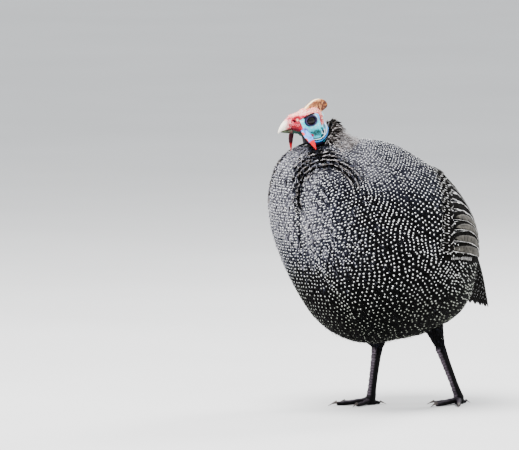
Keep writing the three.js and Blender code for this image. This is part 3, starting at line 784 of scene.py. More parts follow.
# The middle stops of web and fringe are tinted blue: a painted sheen.
web_finish = mottled("feather_web", 60.0, (0.0, grey(0.001)), (0.35, grey(0.003)),
                     (0.65, (0.011, 0.012, 0.019)), (1.0, (0.085, 0.082, 0.1)),
                     toned=0.2, fine=900.0, Roughness=0.75, Specular_IOR_Level=0.02)
fringe_finish = mottled("feather_fringe", 80.0, (0.0, grey(0.002)), (0.3, (0.014, 0.014, 0.016)),
                        (0.6, (0.058, 0.062, 0.092)), (1.0, (0.54, 0.53, 0.6)),
                        toned=0.3, fine=900.0, Roughness=0.75, Specular_IOR_Level=0.05)
fringes = lay(plumage, FRINGE, feathers)
webs = lay(plumage, WEB, feathers, across=WEB[0][:, 0] * WEB_BREADTH, along=WEB[0][:, 1] * WEB_REACH,
           rise=WEB_LIFT)
coat_halves("body_fringes", FRINGE, fringes, tone, patches, fringe_finish, on_left)
coat_halves("body_webs", WEB, webs, tone, patches, web_finish, on_left)

# %% [markdown]
# The pearls lie on top. They are smallest under the belly, drawn out along the feather towards the
# rear and drawn out across it on the breast. Low on the belly and where they face down they are
# painted dark and greenish, as painted shade with painted green light from below, and they are
# darker towards the rear too. Some are covered by the feather above, and in the tiers of the collar
# nearly all are.

# %% Pearls
PEARL_ALONG, PEARL_LIFT, PEARL_DOME = 0.78, 0.62, 0.12
# The ramp's dark, greenish stops are painted shade with painted green light from below.
pearl_finish = mottled("pearl_white", 300.0, (0.0, (0.09, 0.1, 0.07)), (0.5, (0.36, 0.38, 0.33)),
                       (1.0, grey(0.95)), toned=0.15, fine=1200.0, depth=0.0003, strength=0.5,
                       Roughness=0.6, Specular_IOR_Level=0.25)
share, wave = tier_share(show_a, row_b, at)
in_collar = (from_neck_middle(at) < 1.12) & (at[:, 2] > 335)
beneath = smooth_step(-out[:, 2], 0.35, 0.85)
hidden = np.clip(0.95 * share + 0.85 * in_collar, 0, 0.92)
rear = smooth_step(at[:, 1], 40, 100) * (1 - breast)
hidden = np.maximum(hidden, 0.85 * (rng.uniform(0, 1, count) < 0.04 + 0.35 * beneath + 0.22 * rear))
size = rng.uniform(0.8, 1.14, count) * (1 - hidden)
low = 1 - smooth_step(at[:, 2], 110, 225)
pearl_half = row_wide * (0.162 + 0.15 * breast + 0.05 * mantle - 0.055 * rear - 0.01 * low) * size
pearl_long = apart_here * (0.158 - 0.02 * breast + 0.17 * rear - 0.01 * low) * size
x = PEARL[0][:, 0][None] * pearl_half[:, None] / feathers["half"][:, None]
y = PEARL_ALONG + PEARL[0][:, 1][None] * pearl_long[:, None] / feathers["length"][:, None]
flat_pearl = (np.zeros_like(PEARL[0]), PEARL[1])
dome = apart_here[:, None] * PEARL_DOME * PEARL[0][None, :, 2]
spots = lay(plumage, flat_pearl, feathers, across=x, along=y, rise=PEARL_LIFT + dome)
# Pearls are painted darker low on the belly and where they face down, as painted shade, and darker towards
# the rear.
pearl_white_shaded = np.clip(1 - 0.52 * low - 0.3 * beneath - 0.2 * rear + stray(0.06), 0, 1)
coat_halves("body_pearls", PEARL, spots, pearl_white_shaded, patches, pearl_finish, on_left)

# %% [markdown]
# On neck and breast the feathers end in loose barbs, which catch the light and make the outline
# ragged. Each is a long thin leaf whose tip stands off. They are strewn at random: many more throws
# are made than needed, and each is kept with the chance that its place has.

# %% Loose barbs
BARB_THROWS, BARB = 60000, leaf_shape(points=6, height=0.4, taper=0.2)


def strewn(throws, chance_at, reach=(0.0, pi)):
    """Random places on the plumage, kept with a chance, as a, b, place and way out."""
    a = np.arccos(rng.uniform(np.cos(reach[1]), np.cos(reach[0]), throws))
    b = rng.uniform(-pi, pi, throws)
    at, out = plumage.at(a, b), plumage.out(a, b)
    kept = rng.uniform(0, 1, throws) < chance_at(a, b, at, out)
    kept &= ~((from_neck_middle(at) < 1.05) & (at[:, 2] > COLLAR_FLOOR))
    return a[kept], b[kept], at[kept], out[kept]


def lay_barbs(name, a, b, length, half, tip, turn, tone, finish, curl=1.3):
    """One object of barbs, with arrays for their places, lengths, half widths, tips and turns."""
    barbs = {"a": a, "b": b, "length": length, "half": half, "root": np.full(len(a), -0.6), "tip": tip,
             "turn": turn, "crown": 0.5, "curl": curl}
    coat(name, BARB, lay(plumage, BARB, barbs), np.clip(tone, 0, 1), unwrap(a, b), finish.material)


def barb_chance(a, b, at, out):
    front = smooth_step(-out[:, 1], 0.25, 0.85) * smooth_step(at[:, 2], CHEST_LOW, CHEST_HIGH - 20)
    beneath = smooth_step(-out[:, 2], 0.5, 0.9)
    top = smooth_step(out[:, 2], 0.3, 0.8)
    return (0.34 * front + 0.2 * beneath + 0.08 * top) * (a < 2.6)


a, b, at_barb, out_barb = strewn(BARB_THROWS, barb_chance)
front = smooth_step(-out_barb[:, 1], 0.25, 0.85)
beneath = smooth_step(-out_barb[:, 2], 0.5, 0.9)
n = len(a)
lay_barbs("loose_barbs", a, b, rng.uniform(5.5, 9, n) * (1 + 0.5 * beneath), rng.uniform(0.2, 0.36, n),
          0.5 + (0.4 + 2.0 * front + 3.5 * beneath) * rng.uniform(0.1, 1, n), rng.normal(0, 0.25, n),
          tone_at(a, b, at_barb, out_barb) + rng.uniform(-0.1, 0.5, n) * (1 - beneath), fringe_finish)

# %% [markdown]
# In the tiers of the collar barbs run along the crests, side by side, pale on top and painted darker below,
# as painted shade.

# %% Crests of the collar
CREST_THROWS = 26000
ruff_finish = mottled("ruff_hair", 120.0, (0.0, grey(0.002)), (0.35, (0.022, 0.018, 0.016)),
                      (0.65, (0.14, 0.12, 0.11)), (1.0, (0.6, 0.56, 0.56)),
                      toned=0.2, fine=900.0, Roughness=0.75, Specular_IOR_Level=0.05)


def along_tier(a, b, at, out):
    """The turn that lays a leaf along the ring round the tiers' spot."""
    ring_way = unit(np.cross(out, at - same_side(TIER_SPOT, at)))
    way_a, way_b = (unit(plumage.read(step, a, b)) for step in (plumage.step_a, plumage.step_b))
    towards_a, towards_b = (np.sum(ring_way * way, -1) for way in (way_a, way_b))
    flip = np.sign(towards_a)
    return np.arctan2(towards_b * flip, towards_a * flip)


def crest_chance(a, b, at, out):
    share, wave = tier_share(a, b, at)
    return share * (0.75 * smooth_step(wave, 0.55, 0.95) + 0.3 * smooth_step(wave, -0.2, 0.6))


a, b, at_crest, out_crest = strewn(CREST_THROWS, crest_chance, reach=(0.1, 0.9))
share, wave = tier_share(a, b, at_crest)
n = len(a)
# Tone falls away below each crest's top: painted shade.
lay_barbs("collar_crests", a, b, rng.uniform(6, 10, n), rng.uniform(0.26, 0.44, n), rng.uniform(0.2, 1.1, n),
          along_tier(a, b, at_crest, out_crest) + rng.normal(0, 0.09, n),
          0.25 + 0.6 * smooth_step(wave, 0.5, 1.0) + rng.normal(0, 0.1, n), ruff_finish)

# %% [markdown]
# Round the nape stands a ruff of stiff hairs. They grow from the collar's rim and a little beyond
# it, tallest in the middle of the nape, and those nearest the rim are often dark.

# %% Hairs of the nape
HAIRS, HAIR_SPREAD, HAIR_DEPTH = 1500, 1.6, 0.2
hair_b = rng.uniform(-HAIR_SPREAD, HAIR_SPREAD, HAIRS)
rim_a = np.interp(hair_b, plumage.b_lines, a_lines[first])
beyond = rng.uniform(-0.02, HAIR_DEPTH, HAIRS)
hair_a = rim_a + beyond
stand = (1 - 0.6 * smooth_step(np.abs(hair_b), 0.8, HAIR_SPREAD)) * (1 - 0.5 * beyond / HAIR_DEPTH)
near_rim = 1 - smooth_step(beyond, 0.02, 0.1)
hair_tone = np.where(rng.uniform(0, 1, HAIRS) < 0.15 + 0.45 * near_rim, rng.uniform(0.1, 0.5, HAIRS),
                     rng.uniform(0.6, 1, HAIRS))
lay_barbs("nape_hairs", hair_a, hair_b, rng.uniform(6, 11, HAIRS), rng.uniform(0.22, 0.42, HAIRS),
          stand * rng.uniform(2.0, 9.0, HAIRS), rng.normal(0, 0.3, HAIRS), hair_tone, ruff_finish, curl=0.9)

# %% [markdown]
# Under the feathers is the skin, one piece for the whole bird, made in three parts. The first is
# the trunk, remeshed as the shell was, but with the thighs, and drawn in by the coat's depth.

# %% The skin of the trunk
COAT_DEPTH = 4.5


def corners(bm):
    """The corners of a bmesh in drawing mm, and the ways they face."""
    for vert in bm.verts:
        vert.normal_update()
    places = to_drawing(np.array([vert.co[:] for vert in bm.verts]))
    return places, np.array([vert.normal[:] for vert in bm.verts])


def move(bm, places):
    """Put the corners of a bmesh at places in drawing mm."""
    for vert, place in zip(bm.verts, to_frame(places)):
        vert.co = place


trunk = remeshed(joined_copy(*PLUMED, "thigh_left", "thigh_right"), voxel=0.004, passes=8)
trunk_at, trunk_normal = corners(trunk)
move(trunk, trunk_at - trunk_normal * COAT_DEPTH)
print("trunk skin", len(trunk.faces), "faces")

# %% [markdown]
# The head and its wattles are remeshed much finer from their solids, and ironed, the thin wattles
# only a little. Places on the head are told in mm to the left, forward and up of the middle between
# the eyes. A wattle is a path of balls, each told by out, forward, up and half its width, and the
# two hang differently, as the near one swings out and the far one shows below the bill.

# %% The skin of the head
HEAD_AT, HEAD_PITCH = EYE_DRAWN * (0, 1, 1), radians(12)
head_turn = np.array(Matrix.Rotation(HEAD_PITCH, 3, "X"))
WATTLES = {
    1: [(9.5, 12.6, -8, 3.6), (13.8, 12, -14, 5.8), (17.6, 10.4, -20, 6.3), (21, 9, -26, 4.9),
        (23.8, 8.2, -31.5, 3.1), (26, 7.8, -37, 0.8)],
    -1: [(9.5, 16.6, -8, 3.6), (12.5, 18.2, -14, 4.6), (14.4, 19.6, -20.5, 4.4), (15.2, 20.6, -27, 3.2),
         (15.6, 21.4, -32.6, 2), (15.6, 22, -37.6, 0.7)],
}
WATTLE_STEPS, WATTLE_REACH, WATTLE_PASSES, FACE_PASSES = 31, 2.2, 4, 26


def head_frame(points):
    """Left, forward and up of the eyes, in mm, of places in the drawing."""
    local = (points - HEAD_AT) @ head_turn
    return local[..., 0], -local[..., 1], local[..., 2]


def wattle_share(points):
    """How far down a wattle each place is, 0 to 1, and how near to its middle line, 0 to 1."""
    left, forward, up = head_frame(points)
    down, near = np.zeros(len(points)), np.zeros(len(points))
    for side, path in WATTLES.items():
        path = np.array(path)
        for k in np.linspace(0, len(path) - 1, WATTLE_STEPS):
            i = min(int(k), len(path) - 2)
            aside, fore, rise, half = path[i] + (path[i + 1] - path[i]) * (k - i)
            gap = np.sqrt((left - side * aside) ** 2 + (forward - fore) ** 2 + (up - rise) ** 2)
            closer = 1 - gap / (half + WATTLE_REACH)
            better = closer > near
            near[better], down[better] = closer[better], k / (len(path) - 1)
    return down, near


face = remeshed(joined_copy("head", "wattle_left", "wattle_right"), voxel=0.0006, passes=0)
down, near = wattle_share(corners(face)[0])
on_wattle = (near > 0.05) & (down > 0.16)
ironed(face, face.verts, WATTLE_PASSES)
ironed(face, [vert for vert, thin in zip(face.verts, on_wattle) if not thin], FACE_PASSES)
print("head skin", len(face.faces), "faces")

# %% [markdown]
# The bald head shows its folds. To set them, each corner is told how far it lies from the lid, the
# ear's opening, the nostril, the gape and the middle of the jowl. `flank` and `snout` keep things
# to the side of the head and of the bill's root.

# %% Where things lie on the head
LID_LONG, LID_TALL = 6.6, 5.5
face_at, face_normal = corners(face)
left, forward, up = head_frame(face_at)
beside = np.abs(left)
lid = np.hypot(forward / LID_LONG, up / LID_TALL)
flank, snout = smooth_step(beside, 7, 11), smooth_step(beside, 2.5, 4.5)


def ring_fold(distance, at, width):
    """1 at a distance, falling off to both sides."""
    return np.exp(-(((distance - at) / width) ** 2))


def line_gap(start, end):
    """Distance of the skin from a line drawn on the side of the head."""
    (f0, u0), (f1, u1) = start, end
    t = ((forward - f0) * (f1 - f0) + (up - u0) * (u1 - u0)) / ((f1 - f0) ** 2 + (u1 - u0) ** 2)
    t = np.clip(t, 0, 1)
    return np.hypot(forward - f0 - t * (f1 - f0), up - u0 - t * (u1 - u0))


def noise_at(places, scale, shift=0):
    """A smooth random number, -1 to 1, at each place."""
    return np.array([lumps.noise(Vector(place) * scale + Vector((shift, 0, 0))) for place in places])


EAR, NOSTRIL, JOWL, GAPE = (-14.6, -18.3), (22.0, 4.4), (-5.5, -8.5), ((31, 0), (17, -5.8))
from_ear = np.hypot((forward - EAR[0]) / 1.2, (up - EAR[1]) / 2.0)
from_nostril = np.hypot((forward - NOSTRIL[0]) / 1.6, up - NOSTRIL[1] - 0.35 * (forward - NOSTRIL[0]))
from_gape = line_gap(*GAPE)
jowl = np.hypot(forward - JOWL[0], up - JOWL[1])
under = smooth_step(-up, 10, 17) * smooth_step(-forward, -6, 2)
ripple, fine_ripple = noise_at(face_at, 0.55), noise_at(face_at, 1.3)
print("between the lids lie", round(float((lid < 1).mean()) * 100, 1), "percent of the head's corners")

# %% [markdown]
# A blue patch lies round the eye and a red band round the patch. Both have outlines made of a few
# limits: the brow's arch, a front edge that leans, and a rear edge. The red skin is warty, so its
# outline is needed for the folds as well as for the paint.

# %% The blue patch and the red band
PATCH_REAR, PATCH_FRONT, BROW_TOP, BROW_LENGTH, BROW_FALL = -13.2, 15.2, 8.5, 14, 0.33
brow = np.where(forward > 0, 8.4 - BROW_FALL * forward,
                BROW_TOP * np.sqrt(np.clip(1 - ((forward + 3) / BROW_LENGTH) ** 2, 0, 1)))
front_edge = PATCH_FRONT - 0.25 * np.maximum(0, 3.4 - up)


def patch_share(margin, soft):
    """How much of each place belongs to the blue patch round the eye, widened by a margin."""
    share = smooth_step(forward, PATCH_REAR - margin - soft, PATCH_REAR - margin + soft)
    share = share * smooth_step(front_edge + margin - forward, -soft, soft)
    return share * smooth_step(brow + margin - up, -soft, soft)


patch = patch_share(0.0, 0.6)
red = smooth_step(forward, -22.5, -20.5) * smooth_step(up + 0.35 * (forward + 13), -11.5, -9.5) * (1 - patch)
red = np.where(forward > 8, np.maximum(red, smooth_step(up, -9, -7) * (1 - patch)), red)
print("red covers", round(float(red.mean()), 2), "of the head")

# %% [markdown]
# Each fold moves the skin along its normal: a lid round each eye and a furrow round the lid,
# wrinkles where the jowl turns under, the ear's opening with its rim, a nostril, the line of the
# gape, warts on the red skin. Inside the lid the skin sinks behind the eyeball.

# %% Folds of the head
EYE_OUT, EYE_RADIUS, BEHIND_EYE = EYE_DRAWN[0], 7.2, 0.7
fold = 1.1 * ring_fold(lid, 1.14, 0.12) - 0.5 * ring_fold(lid, 1.4, 0.09)
fold += 0.35 * ring_fold(lid, 1.6, 0.1) - 0.35 * ring_fold(lid, 1.85, 0.1) * (up < 0)
fold += 0.5 * ring_fold(from_ear, 2.0, 0.5) - 2.8 * ring_fold(from_ear, 0, 1.0)
fold *= flank
fold += snout * (0.7 * ring_fold(from_nostril, 2.3, 0.6) - 1.8 * ring_fold(from_nostril, 0, 1.2))
for height, at, width in ((0.6, 18.2, 0.7), (-0.8, 16.9, 0.6), (-0.9, 19.6, 0.7), (0.5, 21.0, 0.7)):
    fold += under * height * ring_fold(jowl, at, width)
gape_fold = 0.5 * ring_fold(from_gape, 1.8, 0.6) - 0.9 * ring_fold(from_gape, 0, 0.7)
fold += smooth_step(beside, 4, 7) * gape_fold
fold += red * (0.9 * ripple + 0.6 * fine_ripple) * (1 - on_wattle)
fold += (1 - red) * 0.2 * ripple * (1 - on_wattle)
sunk = (lid < 1.0) & (beside > 6)
face_at += face_normal * fold[:, None]
left, forward, up = head_frame(face_at)
from_eye = np.hypot(forward, up)
behind_eye = EYE_OUT + np.sqrt(np.clip(EYE_RADIUS**2 - from_eye**2, 0, None)) - BEHIND_EYE
sunk_left = np.sign(left) * np.minimum(np.abs(left), behind_eye)
local = np.stack([np.where(sunk, sunk_left, left), -forward, up], -1)
face_at = local @ head_turn.T + HEAD_AT
move(face, face_at)
print("lid stands out", round(float(fold.max()), 2), "mm")

# %% [markdown]
# The shanks and toes are horny: broad plates overlap down the front of the shank and along the top
# of each toe, and small scales cover the rest. The plates are steps along the leg, which thickens a
# little towards the hock. Dark skin shows at the back of the shank. The plates are paler, and paler
# still towards their jutting lower edges, which is a painted highlight. A little above the hock the
# skin ends, drawn in under the thigh's feathers.

# %% Legs and feet
PLATES, TOE_PLATE, PLATE_STEP, TOE_STEP = 19, 3.1, 0.75, 0.5
SKIN_TOP, DRAWN_IN, SINEW, SOLE = 84, 1.5, 1.0, 0.05
legs = remeshed(joined_copy("tarsus_left", "foot_left", "tarsus_right", "foot_right",
                            "thigh_left", "thigh_right"), voxel=0.0009, passes=3)
cut = bmesh.ops.bisect_plane(legs, geom=legs.verts[:] + legs.edges[:] + legs.faces[:],
                             plane_co=to_frame([0, 0, SKIN_TOP]), plane_no=(0, 0, 1), clear_outer=True)
rim = [edge for edge in cut["geom_cut"] if isinstance(edge, bmesh.types.BMEdge)]
bmesh.ops.holes_fill(legs, edges=rim)
bmesh.ops.triangulate(legs, faces=[polygon for polygon in legs.faces if len(polygon.verts) > 4])
leg_at, leg_normal = corners(legs)
plates, plate_pale_and_highlight = np.zeros(len(leg_at)), np.zeros(len(leg_at))
for side, (ankle, hock) in LEGS.items():
    axis = hock - ankle
    own = np.sign(leg_at[:, 0]) == side
    along = (leg_at - ankle) @ axis / (axis @ axis)
    on_shank = own * plateau(along, -0.02, 0.08, 0.97, 1.03)
    front = smooth_step(-leg_normal[:, 1], 0.2, 0.65)
    step = (-along * PLATES) % 1
    plates += on_shank * (front * PLATE_STEP * (step - 0.5) + SINEW * smooth_step(along, 0.0, 0.9))
    away = np.hypot(leg_at[:, 0] - ankle[0], leg_at[:, 1] - ankle[1])
    toe_step = (away / TOE_PLATE) % 1
    on_toe = own * (1 - smooth_step(leg_at[:, 2], 9, 12)) * smooth_step(leg_normal[:, 2], 0.3, 0.8)
    plates += on_toe * TOE_STEP * (toe_step - 0.5)
    # Plates are paler, most of all at their jutting lower edges: a painted highlight.
    plate_pale_and_highlight += on_shank * front * (0.3 + 0.7 * step) + on_toe * (0.2 + 0.5 * toe_step)
plates -= DRAWN_IN * smooth_step(leg_at[:, 2], SKIN_TOP - 8, SKIN_TOP - 3)
leg_at += leg_normal * plates[:, None]
leg_at[:, 2] = np.maximum(leg_at[:, 2], SOLE)
move(legs, leg_at)
LEG_DARK, LEG_PALE = np.array([0.003, 0.0025, 0.003]), np.array([0.2, 0.16, 0.2])
leg_paint = LEG_DARK + (LEG_PALE - LEG_DARK) * np.clip(plate_pale_and_highlight, 0, 1)[:, None] ** 1.5
print("leg skin", len(legs.faces), "faces")

# %% [markdown]
# The head is painted corner by corner, with amounts of light for colours. `painted` lays coats of
# paint over a ground, one after another. Each coat is a share of the skin, 0 to 1, and the name of
# its colour.

# %% Colours for the head
PAINTS = {
    "aqua_light": (0.02, 0.70, 0.85), "aqua": (0.01, 0.38, 0.46), "teal": (0.007, 0.06, 0.055),
    "pale_blue": (0.02, 0.28, 0.85), "ice": (0.80, 0.92, 0.95),
    "navy": (0.005, 0.004, 0.035), "ink": (0.002, 0.0018, 0.005), "chin": (0.014, 0.045, 0.035),
    "crimson": (0.36, 0.002, 0.02), "dark_red": (0.12, 0.003, 0.014), "pink": (0.78, 0.075, 0.13),
    "blush": (0.92, 0.6, 0.46), "salmon": (0.75, 0.05, 0.05), "violet": (0.07, 0.055, 0.11),
    "wattle_blue": (0.035, 0.15, 0.62), "wattle_pale": (0.15, 0.42, 0.9), "tip_red": (0.55, 0.003, 0.012),
    "far_wattle_shade": (0.04, 0.007, 0.012), "gape": (0.285, 0.008, 0.015),
}
left, forward, up = head_frame(face_at)
lid = np.hypot(forward / LID_LONG, up / LID_TALL)
blotch, speckle = noise_at(face_at, 0.3), noise_at(face_at, 0.9, shift=50)


def plain(name):
    """One colour all over the head."""
    return np.tile(PAINTS[name], (len(face_at), 1))


def painted(ground, coats):
    """The ground under its coats of paint."""
    paint = ground.copy()
    for share, name in coats:
        paint += (np.array(PAINTS[name]) - paint) * np.clip(share, 0, 1)[:, None]
    return paint


def spot(at, size, ragged=0.5):
    """A soft spot on the side of the head, 1 in its middle."""
    gap = ((forward - at[0]) / size[0]) ** 2 + ((up - at[1]) / size[1]) ** 2
    return 1 - smooth_step(gap + ragged * fine_ripple, 0.5, 1.3)


print(len(PAINTS), "paints")

# %% [markdown]
# The blue skin. Round the eye lies a turquoise patch. The cheek is aqua with a dark teal cloud, and
# folds run round the jowl, with painted highlights of light blue and near white on their crests and
# painted shade, black, in their furrows. The throat is almost black. The ear's opening is painted
# ink, as painted shade in the hole, with a pale rim, and behind it lies a small painted highlight.

# %% Blue skin
# The jowl's crests get painted highlights and its furrows painted shade.
JOWL_FOLD_LIGHT_AND_SHADE = ((15.6, 0.6, "aqua_light"), (16.9, 0.7, "ink"), (18.2, 0.5, "ice"), (19.6, 0.85, "ink"),
              (21.0, 0.6, "pale_blue"), (22.4, 0.9, "ink"))
behind = smooth_step(-forward, 14.5, 18) * smooth_step(-up, 2, 7)
outer = smooth_step(up - 0.3 * forward, 0, 4) * patch_share(0.0, 0.6)
round_jowl = np.degrees(np.arctan2(-(up - JOWL[1]), -(forward - JOWL[0])))
throat_edge = 21.5 + 4.0 * (1 - smooth_step(round_jowl, 60, 85))
throat = smooth_step(jowl, throat_edge, 23.0 + 4.0 * (round_jowl < 72)) * smooth_step(-up, 8, 14)
blue_skin = painted(plain("aqua_light"), [
    (0.05 + 0.9 * blotch + 0.4 * ripple, "ice"),
    (smooth_step(-up, 8, 15) * (0.6 + 0.6 * ripple), "aqua"),
    (smooth_step(-up, 12, 18) * smooth_step(blotch + 0.7 * ripple, 0.1, 0.35) * 0.6, "pale_blue"),
    (smooth_step(-up, 17, 22) * 0.5, "aqua"),
    (spot((-4.6, -17.4), (7.2, 4.4)) * (0.9 + 0.3 * ripple), "teal"),
    (spot((2.0, -15.8), (1.3, 1.1)) * 0.8, "ink"),
    (behind, "pale_blue"),
    (behind * (0.45 + 1.2 * blotch + 0.5 * ripple), "ice"),
    (spot((-18.5, -11.5), (2.4, 4.2)) * 0.9, "teal"),
    (outer * ring_fold(from_eye, 11.6, 1.7) * (forward < 2), "pale_blue"),
    (outer * ring_fold(from_eye, 8.7, 1.1) * (forward < 3), "ice"),
    (1 - smooth_step(lid, 1.36, 1.5), "navy"),
    (ring_fold(lid, 1.14, 0.1) * (0.65 + 0.5 * speckle), "violet"),
    *((under * ring_fold(jowl, at, width) * 1.25, name) for at, width, name in JOWL_FOLD_LIGHT_AND_SHADE),
    (throat, "navy"),
    (throat * (0.4 + 1.2 * ripple), "ink"),
    (smooth_step(forward, 4, 9) * plateau(-up, 10, 13, 14, 17), "chin"),
    (smooth_step(forward, 5, 9) * smooth_step(-up, 14, 17), "ink"),
    (smooth_step(forward, -2, 6) * smooth_step(-up, 20, 23), "ink"),
    (ring_fold(from_ear, 1.9, 0.45) * (up < EAR[1] + 1) * flank, "ice"),
    (spot((-12.0, -22.4), (2.6, 1.3)) * flank, "ink"),
    (spot((-13.4, -13.6), (2.0, 1.6)) * flank * 0.9, "teal"),
    # The ear's hole is painted ink, painted shade, and the pink spot behind it is a painted highlight.
    ((1 - smooth_step(from_ear, 1.1, 1.7)) * flank, "ink"),
    (spot((-17.2, -16.9), (0.9, 1.4)) * flank, "blush"),
])
print("dark throat covers", round(float(throat.mean()), 2), "of the head")

# %% [markdown]
# The red skin frames the patch, from the cere over the brow and down behind the eye, pale and
# speckled outside, crimson at its inner edge. Round the gape it turns dark. A black line runs along
# the brow, over both skins.

# %% Red skin
ridge = smooth_step(up + 1.2 * ripple - 0.06 * forward, 7.5, 10.5)
from_nose = np.hypot(forward - 17.6, up - 5.0)
below_gape = 0.414 * (forward - GAPE[0][0]) - up
warts = smooth_step(up, 11, 13) * smooth_step(-forward, -4, 0)
inner_edge = (patch_share(2.0, 0.9) - patch_share(-0.3, 0.6)) * (up < 7.5 + 0.2 * forward)
red_skin = painted(plain("pink"), [
    (-0.05 + 0.8 * speckle, "blush"),
    (ridge * (0.95 + 0.4 * blotch), "blush"),
    (smooth_step(-forward, 11, 16) * (0.6 + 0.5 * blotch), "blush"),
    (smooth_step(ripple + 0.6 * speckle, 0.05, 0.3) * ridge * 0.8, "pink"),
    (smooth_step(fine_ripple - 0.5 * blotch, 0.2, 0.4) * ridge * 0.8, "salmon"),
    (smooth_step(-fine_ripple - 0.4 * speckle, 0.1, 0.24) * smooth_step(-forward, 8, 12), "dark_red"),
    (smooth_step(-ripple - 0.6 * fine_ripple, -0.08, 0.1) * (1 - ridge) * 0.95, "crimson"),
    (inner_edge, "crimson"),
    (1.8 * ring_fold(from_nose, 3.8, 1.2) * smooth_step(up + 0.5 * forward, 10, 12) * snout, "crimson"),
    (0.9 * ring_fold(from_nose, 0, 1.4) * snout, "blush"),
    # The nostril's hollow is painted ink: painted shade.
    (1.2 * (1 - smooth_step(from_nostril, 0.9, 1.6)) * snout, "ink"),
    (ring_fold(from_gape, 0, 1.5), "gape"),
    (smooth_step(below_gape, 0.8, 1.6) * smooth_step(forward, 6, 10), "dark_red"),
    (smooth_step(below_gape + 1.5 * ripple, 4.2, 6.0) * smooth_step(forward, 6, 10), "chin"),
    (spot((-13.2, -10.4), (1.6, 2.4)), "crimson"),
    (warts * smooth_step(-fine_ripple - 0.3 * ripple, 0.08, 0.25) * 0.85, "dark_red"),
])
brow_line = 1.6 * ring_fold(up - brow, -0.3, 1.1) * plateau(forward, -9, -6, 8, 11) * flank
bald_skin = painted(blue_skin + (red_skin - blue_skin) * red[:, None], [(brow_line, "ink")])
print("brow line covers", round(float(brow_line.mean()), 2), "of the head")

# %% [markdown]
# The near wattle is pale blue with red spots and a red tip, and its blue runs up to the corner of
# the bill. The far one is painted dark, as painted shade, with a crimson rim.

# %% Wattles
WATTLE_SPOTS = (((15.6, -7.6), (2.6, 1.9), "crimson"), ((11.0, -9.9), (1.4, 1.1), "dark_red"),
                ((16.4, -13.9), (2.6, 2.4), "salmon"), ((15.6, -23.2), (2.2, 3.6), "salmon"),
                ((2.6, -20.0), (2.7, 2.4), "crimson"))
SNOUT_ABOVE, PAINT_GRAIN = -12, 0.2
down, near = wattle_share(face_at)
on_leaf = smooth_step(near, 0.08, 0.26) * smooth_step(down, 0.05, 0.12)
on_leaf = np.maximum(on_leaf, spot((11.8, -11.5), (6.0, 4.4)) * flank)
left_paint = painted(bald_skin, [
    (on_leaf, "wattle_blue"),
    (on_leaf * (0.5 + 1.4 * blotch + 0.6 * ripple), "wattle_pale"),
    *((spot(at, size, 0.3) * (snout if at[1] > SNOUT_ABOVE else flank), name)
      for at, size, name in WATTLE_SPOTS),
    (on_leaf * smooth_step(down, 0.53, 0.58), "tip_red"),
])
on_leaf = smooth_step(near, 0.1, 0.3) * smooth_step(down, 0.06, 0.14)
right_paint = painted(bald_skin, [
    # The far wattle's dark paint is painted shade.
    (on_leaf, "far_wattle_shade"),
    (on_leaf * smooth_step(0.5 - near, 0.0, 0.2) * 0.8, "crimson"),
    (on_leaf * smooth_step(down, 0.55, 0.7), "tip_red"),
])
paint = np.where((left > 0)[:, None], left_paint, right_paint)
paint = np.clip(paint * (1 + PAINT_GRAIN * fine_ripple[:, None]), 0, 1)
print("mean paint", np.round(paint.mean(0), 2))

# %% [markdown]
# Skin on the legs is scaly, with the paint shaded by the cells of a Voronoi pattern. On the face it
# has pores. What little shows between the feathers of the trunk is dark.

# %% Finishes of the skin
def scaled_finish(name, colour_low, colour_high, scale, painted_by=None):
    """Scaly skin. With the name of a colour attribute the two colours only shade that paint."""
    finish = Finish(name, Specular_IOR_Level=0.05)
    cells = finish.node("ShaderNodeTexVoronoi", {"feature": "DISTANCE_TO_EDGE"},
                        {"Vector": finish.place(), "Scale": scale}, out="Distance")
    worn = finish.noise(120.0)
    grain = worn * 0.7 + finish.band(cells, 0.0, 0.14) * 0.3
    shade = finish.ramp(grain, (0.3, colour_low), (0.75, colour_high))
    if painted_by:
        shade = finish.blend(1.0, finish.attribute(painted_by, "Color"), shade, "MULTIPLY")
    finish.feed("Base Color", shade)
    finish.feed("Roughness", 0.42 + 0.25 * worn)
    finish.relief(finish.band(cells, 0.0, 0.16) + finish.noise(500.0) * 0.3, 0.00035, 0.9)
    return finish


hidden_skin = scaled_finish("bare_skin", grey(0.002, 0.05), grey(0.006, 0.05), 500.0)
leg_finish = scaled_finish("leg_scales", grey(0.25), grey(0.95), 520.0, "paint")
face_finish = Finish("painted_face", Specular_IOR_Level=0.12)
face_paint = face_finish.attribute("paint", "Color")
pores = face_finish.noise(700.0, 4.0)
in_pores = face_finish.band(pores, 0.35, 0.7) * 0.3
face_finish.feed("Base Color", face_finish.blend(in_pores, face_paint, grey(0.85), "MULTIPLY"))
face_finish.feed("Roughness", 0.36 + 0.25 * pores)
face_finish.relief(pores, 0.0003, 0.7)
print("skin finishes", hidden_skin.material.name, face_finish.material.name, leg_finish.material.name)

# %% [markdown]
# The skins of trunk, head and legs become one mesh. They run into one another under the feathers, so
# no seam shows. Each keeps its own material slot, and the paint goes along as a colour attribute.

